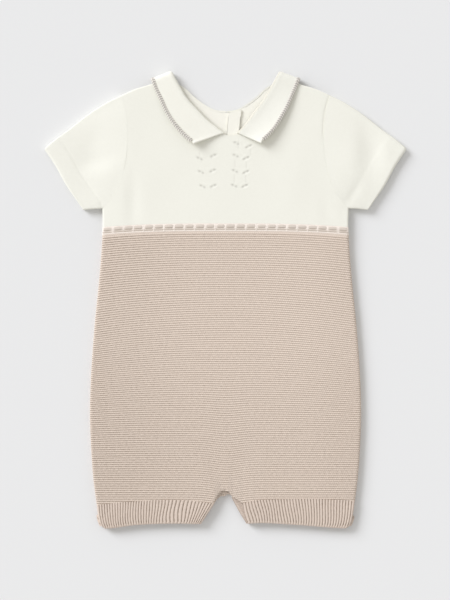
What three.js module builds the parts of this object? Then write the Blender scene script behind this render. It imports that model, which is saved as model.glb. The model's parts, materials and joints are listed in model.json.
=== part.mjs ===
import * as THREE from 'three';

// A baby romper laid flat, face up. Millimetres, +Z up. The origin is on the table under the
// middle of the garment, +Y runs to the collar and +X to the right of the picture.

// Walls
const YOKE_WALL = 1.5;
const BODY_WALL = 2.2;
const RIB_WALL = 1.9;
const COLLAR_WALL = 1.6;
const CUFF_WALL = 2.2;
const BAND_WALL = 1.5;
const SEAM = 0.4;
const LAYER_GAP = 0.3;

// Heights above the table
const FRONT_HEIGHT = 7.3;
const SLEEVE_HEIGHT = 5.6;
const BACK_RISE = 1.9;
const COLLAR_HEIGHT = FRONT_HEIGHT + LAYER_GAP + COLLAR_WALL;
const COLLAR_LIFT = 6.5;

// Waist row and ribs
const WAIST_Y = 69.8;
const WAIST_DROOP = 3.5;
const WAIST_ABOVE = 3.0;
const WAIST_BELOW = 4.4;
const DASHES = 24;
const DASH_SHARE = 0.78;
const DASH_HEIGHT = 0.7;
const WAIST_ROWS = [
  { down: 0, raised: false },
  { down: 0.14, raised: true },
  { down: 0.62, raised: true },
  { down: 0.76, raised: false },
  { down: 1, raised: false },
];
const RIBS_PER_LEG = 44;
const RIB_HEIGHT = 0.8;

// Sleeve hem, collar edging, back opening
const SLEEVE_LENGTH = 84;
const CUFF_DEPTH = 16;
const CUFF_STEP = 0.4;
const TIPPING_WIDTH = 2.8;
const TIPPING_HEIGHT = 0.5;
const PLACKET_WIDTH = 11.7;
const PLACKET_TOP = { x: 8.6, y: 175 };
const PLACKET_FOOT = { x: 0, y: 73.2 };
const BUTTON_RADIUS = 5;
const BUTTON_THICKNESS = 1.6;
const BUTTON_HOLE = 0.9;
const BUTTON_HOLE_APART = 3.1;
const BUTTON_ROWS = [143, 122, 101];
const UNDERARM_Y = 87;
const BACK_NECK_Y = 176.6;
const LEAF_MEET_X = 0.6;
const LEAF_HALF_GAP = 0.3;

// Half width of the body at each height, right side and left side alike
const SIDE_ROWS = [
  { y: -217, half: 116.6 },
  { y: -209, half: 120.2 },
  { y: -195, half: 122.4 },
  { y: -171, half: 125.6 },
  { y: -141, half: 127.8 },
  { y: -110, half: 128.9 },
  { y: -80, half: 128.3 },
  { y: -50, half: 126.5 },
  { y: -19, half: 124.0 },
  { y: 11, half: 120.9 },
  { y: 42, half: 118.2 },
  { y: 68, half: 116.7 },
  { y: UNDERARM_Y, half: 117.0 },
];

// Shoulder and top of the sleeve, from the neck out to the cuff
const SHOULDER_ROWS = [
  { x: 53, y: 211.0 },
  { x: 73, y: 204.3 },
  { x: 86, y: 200.4 },
  { x: 99.3, y: 194.6 },
];
const SLEEVE_TOP_ROWS = [
  { x: 99.3, y: 194.6 },
  { x: 113.5, y: 187.4 },
  { x: 130.6, y: 176.4 },
  { x: 149.6, y: 161.5 },
  { x: 161.5, y: 152.8 },
  { x: 172.4, y: 143.4 },
];
const ARMHOLE_ROWS = [
  { x: 99.3, y: 194.6 },
  { x: 94.6, y: 178 },
  { x: 93.2, y: 163 },
  { x: 93.6, y: 142 },
  { x: 96.5, y: 124 },
  { x: 103.5, y: 104 },
  { x: 117.0, y: UNDERARM_Y },
];
const CUFF_ROWS = [
  { x: 172.4, y: 143.4 },
  { x: 161.5, y: 127 },
  { x: 151.2, y: 108.4 },
  { x: 135.4, y: 85.6 },
];
const UNDERARM_ROWS = [
  { x: 117.0, y: UNDERARM_Y },
  { x: 126, y: 86.6 },
  { x: 135.4, y: 85.6 },
];

// The lower edge of the body: rib seam, left inner leg, crotch, right inner leg, rib seam
const LEFT_RIB_SEAM = [
  { x: -122.4, y: -194.9 },
  { x: -106.9, y: -192.9 },
  { x: -76.5, y: -190.6 },
  { x: -41.3, y: -190.0 },
  { x: -10.4, y: -193.1 },
];
const RIGHT_RIB_SEAM = [
  { x: 16.4, y: -193.1 },
  { x: 29, y: -190.2 },
  { x: 72.7, y: -188.9 },
  { x: 107.8, y: -189.7 },
  { x: 122.8, y: -190.9 },
];
const CROTCH_ROWS = [
  { x: -10.4, y: -193.1 },
  { x: -6.9, y: -187.4 },
  { x: -3.8, y: -182.8 },
  { x: -0.5, y: -181.3 },
  { x: 2.6, y: -181.9 },
  { x: 6.7, y: -186.6 },
  { x: 10.9, y: -189.4 },
  { x: 16.4, y: -193.1 },
];
const LEFT_HEM = [
  { x: -117.4, y: -214.6 },
  { x: -113.5, y: -217.2 },
  { x: -85.5, y: -213.8 },
  { x: -53.7, y: -212.4 },
  { x: -23.3, y: -212.8 },
];
const RIGHT_HEM = [
  { x: 20.8, y: -212.4 },
  { x: 37.5, y: -211.9 },
  { x: 72.7, y: -214.0 },
  { x: 113.5, y: -216.9 },
  { x: 117.4, y: -214.6 },
];
const INSEAM_BAND_ROWS = [
  { outerX: 5.6, outerY: -187.6, innerX: 12.6, innerY: -184.4 },
  { outerX: 8.6, outerY: -193.2, innerX: 17.2, innerY: -191.2 },
  { outerX: 14.2, outerY: -203.4, innerX: 22.6, innerY: -200.6 },
  { outerX: 20.0, outerY: -212.6, innerX: 28.2, innerY: -211.8 },
];

// Each collar leaf, from the centre front to the shoulder: its fold at the neck and its outer edge
const LEFT_LEAF = [
  { neckX: 0.5, neckY: 158.9, edgeX: 29.9, edgeY: 148.7 },
  { neckX: 3.2, neckY: 160.4, edgeX: 33.4, edgeY: 150.4 },
  { neckX: 9.4, neckY: 165.2, edgeX: 38.2, edgeY: 154.2 },
  { neckX: 16.4, neckY: 170.8, edgeX: 43.6, edgeY: 159.4 },
  { neckX: 23.4, neckY: 177.8, edgeX: 49.4, edgeY: 166.2 },
  { neckX: 29.6, neckY: 184.2, edgeX: 54.4, edgeY: 173.6 },
  { neckX: 35.6, neckY: 191.1, edgeX: 59.0, edgeY: 182.2 },
  { neckX: 41.6, neckY: 200.4, edgeX: 63.4, edgeY: 192.4 },
  { neckX: 46.2, neckY: 208.4, edgeX: 67.2, edgeY: 200.6 },
];
const RIGHT_LEAF = [
  { neckX: 10.6, neckY: 158.7, edgeX: 33.3, edgeY: 149.2 },
  { neckX: 12.6, neckY: 160.6, edgeX: 36.4, edgeY: 151.4 },
  { neckX: 16.0, neckY: 164.2, edgeX: 41.0, edgeY: 155.6 },
  { neckX: 20.6, neckY: 169.8, edgeX: 45.6, edgeY: 160.6 },
  { neckX: 25.6, neckY: 176.6, edgeX: 50.8, edgeY: 167.8 },
  { neckX: 30.8, neckY: 183.6, edgeX: 55.2, edgeY: 175.2 },
  { neckX: 36.2, neckY: 191.1, edgeX: 59.6, edgeY: 183.4 },
  { neckX: 41.8, neckY: 200.4, edgeX: 63.6, edgeY: 192.6 },
  { neckX: 46.2, neckY: 208.4, edgeX: 67.0, edgeY: 200.6 },
];
const BACK_LEAF = [
  { neckX: 48.2, neckY: 209.6, edgeX: 67.6, edgeY: 200.8 },
  { neckX: 45.2, neckY: 205.6, edgeX: 63.6, edgeY: 192.6 },
  { neckX: 37.6, neckY: 200.8, edgeX: 55.6, edgeY: 178.6 },
  { neckX: 29.4, neckY: 193.0, edgeX: 44.6, edgeY: 166.6 },
  { neckX: 20.4, neckY: 186.2, edgeX: 31.6, edgeY: 157.4 },
  { neckX: 10.4, neckY: 181.0, edgeX: 16.6, edgeY: 152.2 },
  { neckX: LEAF_HALF_GAP, neckY: 179.6, edgeX: LEAF_HALF_GAP, edgeY: 150.8 },
];
const SHOULDER_FOLD = { neckX: 49.2, neckY: 213.85, edgeX: 69.0, edgeY: 206.0 };
const SHOULDER_SLOPE = { x: 0.355, y: 0.935 };
const COLLAR_ROLL = 2.6;
const FOLD_ANGLES = [60, 30, 0, -30, -60];

// Steps of the rolled edges, and the shares of the yokes' and sleeves' rows and columns
const ROLL_ANGLES = [0, 25, 50, 90];
const SIDE_SHARE = 0.1;
const NECK_SHARE = 0.5;
const NECK_COLUMNS = 24;
const SHOULDER_LENGTH = 64;
const ARMHOLE_LENGTH = 118;
const RIB_DEPTH = 22;
const STAND_ROOM = COLLAR_WALL + 1.2;
const FRONT_NECK_POINT = { x: 5.5, y: 155.9 };

// Where the back's outer face rises over the collar and the buttons, by distance from their middles
const OVER_COLLAR = { whole: 31, none: 52 };
const OVER_PLACKET = { whole: 8, none: 34, footY: 74, wholeY: 92 };
const RISE_ENDS_X = { from: 80, to: 96 };
const SLEEVE_THINS_X = { from: 88, to: 150 };

// Soft hollows and swells of the front, each with its middle, half length, half width and turn
const SWELLS = [
  { x: -129, y: 141, long: 20, wide: 11, turn: 60, rise: -0.9 },
  { x: -115, y: 115, long: 24, wide: 12, turn: 75, rise: 0.5 },
  { x: 134, y: 143, long: 22, wide: 9, turn: 95, rise: -0.9 },
  { x: 112, y: 127, long: 24, wide: 12, turn: 90, rise: 0.5 },
  { x: 150, y: 146, long: 14, wide: 8, turn: 110, rise: 0.4 },
  { x: -9, y: -160, long: 26, wide: 9, turn: 115, rise: -0.5 },
  { x: 13, y: -158, long: 24, wide: 9, turn: 65, rise: -0.4 },
];

const CREAM = 0xf1efe6;
const BEIGE = 0xd1c0b1;
const RIB_BEIGE = 0xc9b8aa;
const EDGING = 0xa99f95;

const romper = new THREE.Group();

function material(colour) {
  return new THREE.MeshStandardMaterial({ color: colour, roughness: 0.92, metalness: 0 });
}

// Smooth curve through the rows of a table, sampled by one of its columns
function along(rows, from, to) {
  const slope = (k) => {
    const a = rows[Math.max(k - 1, 0)];
    const b = rows[Math.min(k + 1, rows.length - 1)];
    return (b[to] - a[to]) / (b[from] - a[from]);
  };
  return (value) => {
    const rising = rows[rows.length - 1][from] > rows[0][from];
    let k = rows.findIndex((row) => (rising ? row[from] > value : row[from] < value)) - 1;
    if (k < 0) k = value === rows[0][from] || (rising === value < rows[0][from]) ? 0 : rows.length - 2;
    const a = rows[k];
    const b = rows[k + 1];
    const span = b[from] - a[from];
    const q = THREE.MathUtils.clamp((value - a[from]) / span, 0, 1);
    const h = q * q * (3 - 2 * q);
    return a[to] * (1 - h) + b[to] * h
      + span * (slope(k) * q * (1 - q) * (1 - q) - slope(k + 1) * q * q * (1 - q));
  };
}

// Curve in the plane through the rows of a table, from 0 to 1 by length
function path(rows) {
  const curve = new THREE.CatmullRomCurve3(
    rows.map((row) => new THREE.Vector3(row.x, row.y, 0)), false, 'centripetal');
  return (q) => curve.getPointAt(THREE.MathUtils.clamp(q, 0, 1));
}

// The same curve, from 0 to 1 by x
function overX(rows) {
  const height = along(rows, 'x', 'y');
  const first = rows[0].x;
  const last = rows[rows.length - 1].x;
  return (q) => {
    const x = first + (last - first) * THREE.MathUtils.clamp(q, 0, 1);
    return new THREE.Vector3(x, height(x), 0);
  };
}

function mirrored(rows) {
  return rows.map((row) => ({ ...row, x: -row.x }));
}

function mirroredIf(sign, rows) {
  return sign < 0 ? mirrored(rows) : [...rows];
}

function smoothstep(low, high, value) {
  return THREE.MathUtils.smoothstep(value, low, high);
}

// Surface that four edge curves bound; s runs across from left to right and v from bottom to top
function patch(left, right, bottom, top) {
  const corner = [bottom(0), bottom(1), top(0), top(1)];
  return (s, v) => {
    const point = new THREE.Vector3();
    point.addScaledVector(left(v), 1 - s).addScaledVector(right(v), s);
    point.addScaledVector(bottom(s), 1 - v).addScaledVector(top(s), v);
    point.addScaledVector(corner[0], -(1 - s) * (1 - v)).addScaledVector(corner[1], -s * (1 - v));
    point.addScaledVector(corner[2], -(1 - s) * v).addScaledVector(corner[3], -s * v);
    return point;
  };
}

// Steps from 0 to 1 that bunch where the cloth rolls over at either end
function steps(count, length, rollStart, rollEnd) {
  const radius = FRONT_HEIGHT / 2;
  const roll = ROLL_ANGLES.map((a) => (1 - Math.cos(THREE.MathUtils.degToRad(a))) * radius / length);
  const start = rollStart ? roll : [0];
  const end = rollEnd ? roll.map((q) => 1 - q).reverse() : [1];
  const first = start[start.length - 1];
  const last = end[0];
  const middle = [];
  for (let k = 1; k < count; k += 1) middle.push(first + (last - first) * k / count);
  return [...start, ...middle, ...end];
}

// Folded edges, where front and back meet halfway up
const halfWidth = along(SIDE_ROWS, 'y', 'half');
const sideLine = Array.from({ length: 39 }, (_, k) => UNDERARM_Y - 8 * k)
  .map((y) => ({ x: halfWidth(y), y }));
const leftInnerLeg = [...CROTCH_ROWS.slice(0, 4)].reverse().concat([LEFT_HEM[4]]);
const foldLines = [sideLine, SHOULDER_ROWS, SLEEVE_TOP_ROWS, UNDERARM_ROWS]
  .flatMap((rows) => [rows, mirrored(rows)])
  .concat([leftInnerLeg])
  .map((rows) => {
    const point = path(rows);
    return Array.from({ length: 41 }, (_, k) => point(k / 40));
  });

function distanceTo(line, x, y) {
  let best = Infinity;
  for (let k = 1; k < line.length; k += 1) {
    const a = line[k - 1];
    const dx = line[k].x - a.x;
    const dy = line[k].y - a.y;
    const q = THREE.MathUtils.clamp(((x - a.x) * dx + (y - a.y) * dy) / (dx * dx + dy * dy), 0, 1);
    best = Math.min(best, Math.hypot(x - a.x - q * dx, y - a.y - q * dy));
  }
  return best;
}

const backNeckLine = [BACK_LEAF, BACK_LEAF.map((row) => ({ ...row, neckX: -row.neckX })).reverse()]
  .flat()
  .map((row) => new THREE.Vector3(row.neckX, row.neckY, 0));

function placketCentre(y) {
  const q = (y - PLACKET_FOOT.y) / (PLACKET_TOP.y - PLACKET_FOOT.y);
  return PLACKET_FOOT.x + (PLACKET_TOP.x - PLACKET_FOOT.x) * q;
}

function swell(x, y) {
  return SWELLS.reduce((total, row) => {
    const turn = THREE.MathUtils.degToRad(row.turn);
    const lengthwise = ((x - row.x) * Math.cos(turn) + (y - row.y) * Math.sin(turn)) / row.long;
    const sideways = ((y - row.y) * Math.cos(turn) - (x - row.x) * Math.sin(turn)) / row.wide;
    return total + row.rise * Math.exp(-lengthwise * lengthwise - sideways * sideways);
  }, 0);
}

// Height of the front's outer face, and of the back's outer face over the collar and the buttons
function frontHeight(x, y) {
  const thinning = smoothstep(SLEEVE_THINS_X.from, SLEEVE_THINS_X.to, Math.abs(x));
  return FRONT_HEIGHT - (FRONT_HEIGHT - SLEEVE_HEIGHT) * thinning + swell(x, y);
}

function backHeight(x, y) {
  const overCollar = 1 - smoothstep(OVER_COLLAR.whole, OVER_COLLAR.none, distanceTo(backNeckLine, x, y));
  const fromPlacket = Math.abs(x - placketCentre(y));
  const besidePlacket = 1 - smoothstep(OVER_PLACKET.whole, OVER_PLACKET.none, fromPlacket);
  const overPlacket = besidePlacket * smoothstep(OVER_PLACKET.footY, OVER_PLACKET.wholeY, y);
  const inside = 1 - smoothstep(RISE_ENDS_X.from, RISE_ENDS_X.to, Math.abs(x));
  return BACK_RISE * Math.max(overCollar, overPlacket) * inside;
}

function middleHeight(x, y) {
  return (frontHeight(x, y) + backHeight(x, y)) / 2;
}

// Outer face at a place: side is 1 on the front and -1 on the back
function drape(x, y, side) {
  const half = frontHeight(x, y) - middleHeight(x, y);
  const away = Math.min(...foldLines.map((line) => distanceTo(line, x, y)));
  const q = 1 - Math.min(away / half, 1);
  const rise = SEAM / 2 + (half - SEAM / 2) * Math.sqrt(1 - q * q);
  return new THREE.Vector3(x, y, middleHeight(x, y) + side * rise);
}

// Inner points of a panel, which stay on their own side of the fold
function panelInner(outer, wall, side) {
  return innerGrid(outer, wall, side, false).map((row) => row.map((point) => {
    const fold = middleHeight(point.x, point.y) + side * SEAM / 2;
    return point.setZ(side > 0 ? Math.max(point.z, fold) : Math.min(point.z, fold));
  }));
}

// Cloth wall: an outer grid of points and the same grid moved in by the wall's thickness
function innerGrid(outer, wall, facing, ring) {
  const rows = outer.length;
  const cols = outer[0].length;
  const at = (i, j) => outer[THREE.MathUtils.clamp(i, 0, rows - 1)][
    ring ? (j + cols) % cols : THREE.MathUtils.clamp(j, 0, cols - 1)];
  const normal = (i, j) => {
    const across = at(i, j + 1).clone().sub(at(i, j - 1)).normalize();
    const down = at(i + 1, j).clone().sub(at(i - 1, j)).normalize();
    return across.cross(down).normalize();
  };
  const probe = normal(Math.floor(rows / 2), Math.floor(ring ? cols / 4 : cols / 2));
  const sign = Math.sign(probe.z) === facing ? -1 : 1;
  return outer.map((row, i) => row.map((point, j) => {
    const thickness = typeof wall === 'function' ? wall(i, j) : wall;
    return point.clone().addScaledVector(normal(i, j), sign * thickness);
  }));
}

function slab(outer, inner, ring) {
  const rows = outer.length;
  const cols = outer[0].length;
  const positions = [...outer.flat(), ...inner.flat()].flatMap((p) => [p.x, p.y, p.z]);
  const index = [];
  const out = (i, j) => i * cols + (j % cols);
  const inn = (i, j) => rows * cols + out(i, j);
  const quad = (a, b, c, d) => index.push(a, b, c, a, c, d);
  const across = ring ? cols : cols - 1;
  for (let i = 0; i + 1 < rows; i += 1) {
    for (let j = 0; j < across; j += 1) {
      quad(out(i, j), out(i + 1, j), out(i + 1, j + 1), out(i, j + 1));
      quad(inn(i, j), inn(i, j + 1), inn(i + 1, j + 1), inn(i + 1, j));
    }
  }
  for (let j = 0; j < across; j += 1) {
    quad(out(0, j), out(0, j + 1), inn(0, j + 1), inn(0, j));
    quad(out(rows - 1, j), inn(rows - 1, j), inn(rows - 1, j + 1), out(rows - 1, j + 1));
  }
  if (!ring) {
    for (let i = 0; i + 1 < rows; i += 1) {
      quad(out(i, 0), inn(i, 0), inn(i + 1, 0), out(i + 1, 0));
      quad(out(i, cols - 1), out(i + 1, cols - 1), inn(i + 1, cols - 1), inn(i, cols - 1));
    }
  }
  const geometry = new THREE.BufferGeometry();
  geometry.setAttribute('position', new THREE.Float32BufferAttribute(positions, 3));
  geometry.setIndex(volume(positions, index) < 0 ? index.reverse() : index);
  geometry.computeVertexNormals();
  return geometry;
}

function volume(positions, index) {
  const corner = (k) => new THREE.Vector3().fromArray(positions, 3 * index[k]);
  let total = 0;
  for (let k = 0; k < index.length; k += 3) total += corner(k).dot(corner(k + 1).cross(corner(k + 2)));
  return total;
}

function add(name, geometry, colour) {
  const mesh = new THREE.Mesh(geometry, material(colour));
  mesh.name = name;
  romper.add(mesh);
}

function panel(name, outer, wall, side, colour) {
  add(name, slab(outer, panelInner(outer, wall, side), false), colour);
}

function strip(name, outer, wall, colour) {
  add(name, slab(outer, innerGrid(outer, wall, 1, false), false), colour);
}

// Waist line and the columns that cross the garment
function waistLine(s) {
  return WAIST_Y - WAIST_DROOP * Math.abs(s) ** 3;
}

const lowerEdge = {
  left: along(LEFT_RIB_SEAM, 'x', 'y'),
  crotch: along(CROTCH_ROWS, 'x', 'y'),
  right: along(RIGHT_RIB_SEAM, 'x', 'y'),
};

function lowerY(x) {
  if (x <= CROTCH_ROWS[0].x) return lowerEdge.left(x);
  if (x >= RIGHT_RIB_SEAM[0].x) return lowerEdge.right(x);
  return lowerEdge.crotch(x);
}

function bodyPanel(name, side, legColumns, rows) {
  const half = halfWidth(LEFT_RIB_SEAM[0].y);
  const inLeft = CROTCH_ROWS[0].x / half;
  const inRight = RIGHT_RIB_SEAM[0].x / half;
  const columns = [
    ...steps(legColumns, (1 + inLeft) * half, true, true).map((q) => -1 + q * (1 + inLeft)),
    ...CROTCH_ROWS.slice(1, -1).map((row) => row.x / half),
    ...steps(legColumns, (1 - inRight) * half, false, true).map((q) => inRight + q * (1 - inRight)),
  ];
  const outer = steps(rows, WAIST_Y - LEFT_RIB_SEAM[0].y, false, true).map((v) => columns.map((s) => {
    const top = waistLine(s) - WAIST_BELOW - SEAM / 2;
    const bottom = lowerY(s * half) + SEAM / 2;
    const y = top + (bottom - top) * v;
    return drape(s * halfWidth(y), y, side);
  }));
  panel(name, outer, BODY_WALL, side, BEIGE);
}

// Waist row; the front's slipped stitches stand out as dashes
function waistBand(name, side) {
  const front = side > 0;
  const dashStep = 2 / DASHES;
  const columns = front
    ? Array.from({ length: DASHES }, (_, k) => [0, 0.5 * (1 - DASH_SHARE), 0.5 * (1 + DASH_SHARE)]
      .map((q) => -1 + dashStep * (k + q))).flat().concat([1])
    : steps(12, 2 * halfWidth(WAIST_Y), true, true).map((q) => 2 * q - 1);
  const depth = WAIST_ABOVE + WAIST_BELOW - SEAM;
  const plain = WAIST_ROWS.map((row) => columns.map((s) => {
    const top = waistLine(s) + WAIST_ABOVE - SEAM / 2;
    return drape(s * halfWidth(top - depth * row.down), top - depth * row.down, side);
  }));
  const outer = plain.map((points, row) => points.map((point, k) => {
    const raised = front && k % 3 !== 0 && WAIST_ROWS[row].raised;
    return point.clone().add(new THREE.Vector3(0, 0, raised ? DASH_HEIGHT : 0));
  }));
  add(name, slab(outer, panelInner(plain, BAND_WALL, side), false), CREAM);
}

// Rib hems; s runs from the left edge of the leg to the right
function ribPanel(name, seamRows, hemRows, side, outerSide) {
  const seam = overX(seamRows);
  const hem = overX(hemRows);
  const edge = (seamPoint, hemPoint, isSide) => (v) => {
    const y = hemPoint.y + (seamPoint.y - hemPoint.y) * v;
    const x = isSide ? outerSide * halfWidth(y) : hemPoint.x + (seamPoint.x - hemPoint.x) * v;
    return new THREE.Vector3(x, y, 0);
  };
  const left = edge(seam(0), hem(0), outerSide < 0);
  const right = edge(seam(1), hem(1), outerSide > 0);
  const surface = patch(left, right, hem, seam);
  const ribbed = side > 0;
  const count = ribbed ? 2 * RIBS_PER_LEG : 10;
  const columns = ribbed
    ? Array.from({ length: count + 1 }, (_, k) => k / count)
    : steps(count, Math.abs(seamRows[4].x - seamRows[0].x), true, true);
  const seamShare = 0.75 * SEAM / RIB_DEPTH;
  const base = [1 - seamShare, 0].map((v) => columns.map((s) => {
    const point = surface(s, v);
    return drape(point.x, point.y, side);
  }));
  const outer = base.map((row) => row.map((point, k) => {
    const crest = ribbed && k % 2 === 1 ? RIB_HEIGHT : 0;
    return point.clone().add(new THREE.Vector3(0, 0, crest));
  }));
  add(name, slab(outer, panelInner(base, RIB_WALL, side), false), RIB_BEIGE);
}

// Neck edge of the front and back yokes, just outside the collar's stand
function neckRows(leaf) {
  return leaf.map((row, k) => {
    const before = leaf[Math.max(k - 1, 0)];
    const after = leaf[Math.min(k + 1, leaf.length - 1)];
    const alongX = after.neckX - before.neckX;
    const alongY = after.neckY - before.neckY;
    const q = STAND_ROOM * Math.sign(alongX * (row.edgeY - row.neckY) - alongY * (row.edgeX - row.neckX))
      / Math.hypot(alongX, alongY);
    return { x: row.neckX - alongY * q, y: row.neckY + alongX * q };
  });
}

// Rows of the yoke: up the side to the underarm, then along the armhole to the shoulder
const ARMHOLE_STEPS = steps(6, ARMHOLE_LENGTH, true, true);

function yokeRise() {
  return [0, SIDE_SHARE / 2, ...ARMHOLE_STEPS.map((q) => SIDE_SHARE + (1 - SIDE_SHARE) * q)];
}

function yokeEdge(sign) {
  const armhole = path(mirroredIf(sign, ARMHOLE_ROWS).reverse());
  const low = waistLine(1) + WAIST_ABOVE + SEAM / 2;
  return (v) => {
    if (v <= SIDE_SHARE) {
      const y = low + (UNDERARM_Y - low) * v / SIDE_SHARE;
      return new THREE.Vector3(sign * halfWidth(y), y, 0);
    }
    const point = armhole((v - SIDE_SHARE) / (1 - SIDE_SHARE));
    point.x -= sign * SEAM / 2;
    return point;
  };
}

function yokeBottom(fromX, toX) {
  return (q) => {
    const x = fromX + (toX - fromX) * q;
    const s = x / halfWidth(WAIST_Y);
    return new THREE.Vector3(x, waistLine(s) + WAIST_ABOVE + SEAM / 2, 0);
  };
}

function joined(parts, shares) {
  return (q) => {
    let from = 0;
    for (let k = 0; k < parts.length; k += 1) {
      const to = from + shares[k];
      if (q <= to || k === parts.length - 1) return parts[k]((q - from) / shares[k]);
      from = to;
    }
    return parts[0](0);
  };
}

function frontYoke() {
  const reach = halfWidth(WAIST_Y);
  const neck = [
    ...mirrored([SHOULDER_ROWS[0]]),
    ...mirrored(neckRows(LEFT_LEAF)).reverse(),
    FRONT_NECK_POINT,
    ...neckRows(RIGHT_LEAF),
    SHOULDER_ROWS[0],
  ];
  const shoulderShare = (1 - NECK_SHARE) / 2;
  const leftShoulder = path(mirrored(SHOULDER_ROWS).reverse());
  const rightShoulder = path(SHOULDER_ROWS);
  const top = joined(
    [leftShoulder, path(neck), rightShoulder], [shoulderShare, NECK_SHARE, shoulderShare]);
  const surface = patch(yokeEdge(-1), yokeEdge(1), yokeBottom(-reach, reach), top);
  const across = steps(6, SHOULDER_LENGTH, true, false).map((q) => q * shoulderShare);
  const middle = Array.from(
    { length: NECK_COLUMNS - 1 }, (_, k) => shoulderShare + NECK_SHARE * (k + 1) / NECK_COLUMNS);
  const columns = [...across, ...middle, ...across.map((q) => 1 - q).reverse()];
  const outer = yokeRise().map((v) => columns.map((s) => {
    const point = surface(s, v);
    return drape(point.x, point.y, 1);
  }));
  panel('front_yoke', outer, YOKE_WALL, 1, CREAM);
}

function backYoke(name, sign) {
  const inner = PLACKET_WIDTH / 2 + SEAM;
  const centre = (y) => new THREE.Vector3(placketCentre(y) + sign * inner, y, 0);
  const shoulderRows = mirroredIf(sign, SHOULDER_ROWS);
  const neck = mirroredIf(sign, neckRows(BACK_LEAF).reverse())
    .filter((row) => sign * (row.x - placketCentre(row.y)) > inner + 3);
  const start = centre(BACK_NECK_Y);
  const neckLine = path([{ x: start.x, y: start.y }, ...neck.slice(0, -1), shoulderRows[0]]);
  const shoulder = path(shoulderRows);
  const top = joined([neckLine, shoulder], [NECK_SHARE, 1 - NECK_SHARE]);
  const low = WAIST_Y + WAIST_ABOVE + SEAM / 2;
  const middle = (v) => centre(low + (BACK_NECK_Y - low) * v);
  const bottom = yokeBottom(centre(low).x, sign * halfWidth(WAIST_Y));
  const surface = patch(middle, yokeEdge(sign), bottom, top);
  const columns = steps(16, halfWidth(WAIST_Y), false, true);
  const outer = yokeRise().map((v) => columns.map((s) => {
    const point = surface(s, v);
    return drape(point.x, point.y, -1);
  }));
  panel(name, outer, YOKE_WALL, -1, CREAM);
}

// The two bands of the back opening lie on each other, the outer one under the inner one
function placketBand(name, above) {
  const upwards = [0, 0.06, 0.12, 0.18, 0.24, 0.5, 0.75, 1];
  const outer = upwards.map((q) => PLACKET_FOOT.y + (PLACKET_TOP.y - PLACKET_FOOT.y) * q)
    .map((y) => [-0.5, 0, 0.5].map((q) => (
      new THREE.Vector3(placketCentre(y) + q * PLACKET_WIDTH, y, backHeight(placketCentre(y), y) + above))));
  strip(name, outer, BAND_WALL, CREAM);
}

function button(name, y) {
  const face = new THREE.Shape();
  face.absarc(0, 0, BUTTON_RADIUS, 0, 2 * Math.PI);
  for (const side of [-1, 1]) {
    const hole = new THREE.Path();
    hole.absarc(side * BUTTON_HOLE_APART / 2, 0, BUTTON_HOLE, 0, 2 * Math.PI);
    face.holes.push(hole);
  }
  const geometry = new THREE.ExtrudeGeometry(face, {
    depth: BUTTON_THICKNESS, bevelEnabled: false, curveSegments: 8,
  });
  geometry.translate(placketCentre(y), y, 0);
  add(name, geometry, CREAM);
}

// Sleeve: a flat tube from the armhole to the cuff, thicker where its hem is turned in
function sleeve(name, sign) {
  const armhole = path(mirroredIf(sign, ARMHOLE_ROWS));
  const seamed = (v) => {
    const point = armhole(1 - v);
    point.x += sign * SEAM / 2;
    return point;
  };
  const cuff = path(mirroredIf(sign, CUFF_ROWS));
  const topLine = path(mirroredIf(sign, SLEEVE_TOP_ROWS));
  const underLine = path(mirroredIf(sign, UNDERARM_ROWS));
  const surface = patch(seamed, (v) => cuff(1 - v), underLine, topLine);
  const hemStart = 1 - CUFF_DEPTH / SLEEVE_LENGTH;
  const out = [0, 0.2, 0.4, 0.6, hemStart - 0.01, hemStart, 0.93, 1];
  const layer = (s, side) => ARMHOLE_STEPS.map((v) => surface(s, v)).map((p) => drape(p.x, p.y, side));
  const outer = out.map((s) => {
    const hemRise = s >= hemStart ? CUFF_STEP : 0;
    const front = layer(s, 1).map((p, k) => {
      const folded = k === 0 || k === ARMHOLE_STEPS.length - 1;
      return p.setZ(p.z + (folded ? -SEAM / 2 : hemRise));
    });
    return [...front, ...layer(s, -1).slice(1, -1).reverse()];
  });
  const wall = (i) => (out[i] >= hemStart ? CUFF_WALL : YOKE_WALL);
  add(name, slab(outer, innerGrid(outer, wall, 1, true), true), CREAM);
}

// Collar: each row of points runs from the neck seam over the fold and out to the leaf's edge
function collarStations(leaf, sign) {
  const radius = COLLAR_HEIGHT / 2;
  const station = (row, angle, open) => {
    const phi = THREE.MathUtils.degToRad(angle);
    const neck = new THREE.Vector3(sign * row.neckX, row.neckY, radius);
    const edge = new THREE.Vector3(sign * row.edgeX, row.edgeY, radius);
    const run = edge.clone().sub(neck);
    const out = new THREE.Vector3(
      sign * SHOULDER_SLOPE.x * Math.cos(phi), SHOULDER_SLOPE.y * Math.cos(phi), Math.sin(phi));
    return { neck, out, run: run.clone().normalize(), reach: run.length(), open, angle };
  };
  const front = leaf.map((row, k) => station(row, 90, 1 - k / (leaf.length - 1)));
  const fold = FOLD_ANGLES.map((angle) => station(SHOULDER_FOLD, angle, 0));
  const back = BACK_LEAF.map((row, k) => {
    const shift = k === BACK_LEAF.length - 1 ? sign * LEAF_MEET_X : 0;
    return station({ ...row, neckX: row.neckX + shift, edgeX: row.edgeX + shift }, -90, 0);
  });
  return [...front, ...fold, ...back];
}

function collarPoint(at, reach, rise) {
  return at.neck.clone().addScaledVector(at.run, reach).addScaledVector(at.out, rise);
}

function leafRise(at, reach) {
  const q = reach / at.reach;
  return COLLAR_HEIGHT / 2 + COLLAR_LIFT * at.open * q * q;
}

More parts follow.
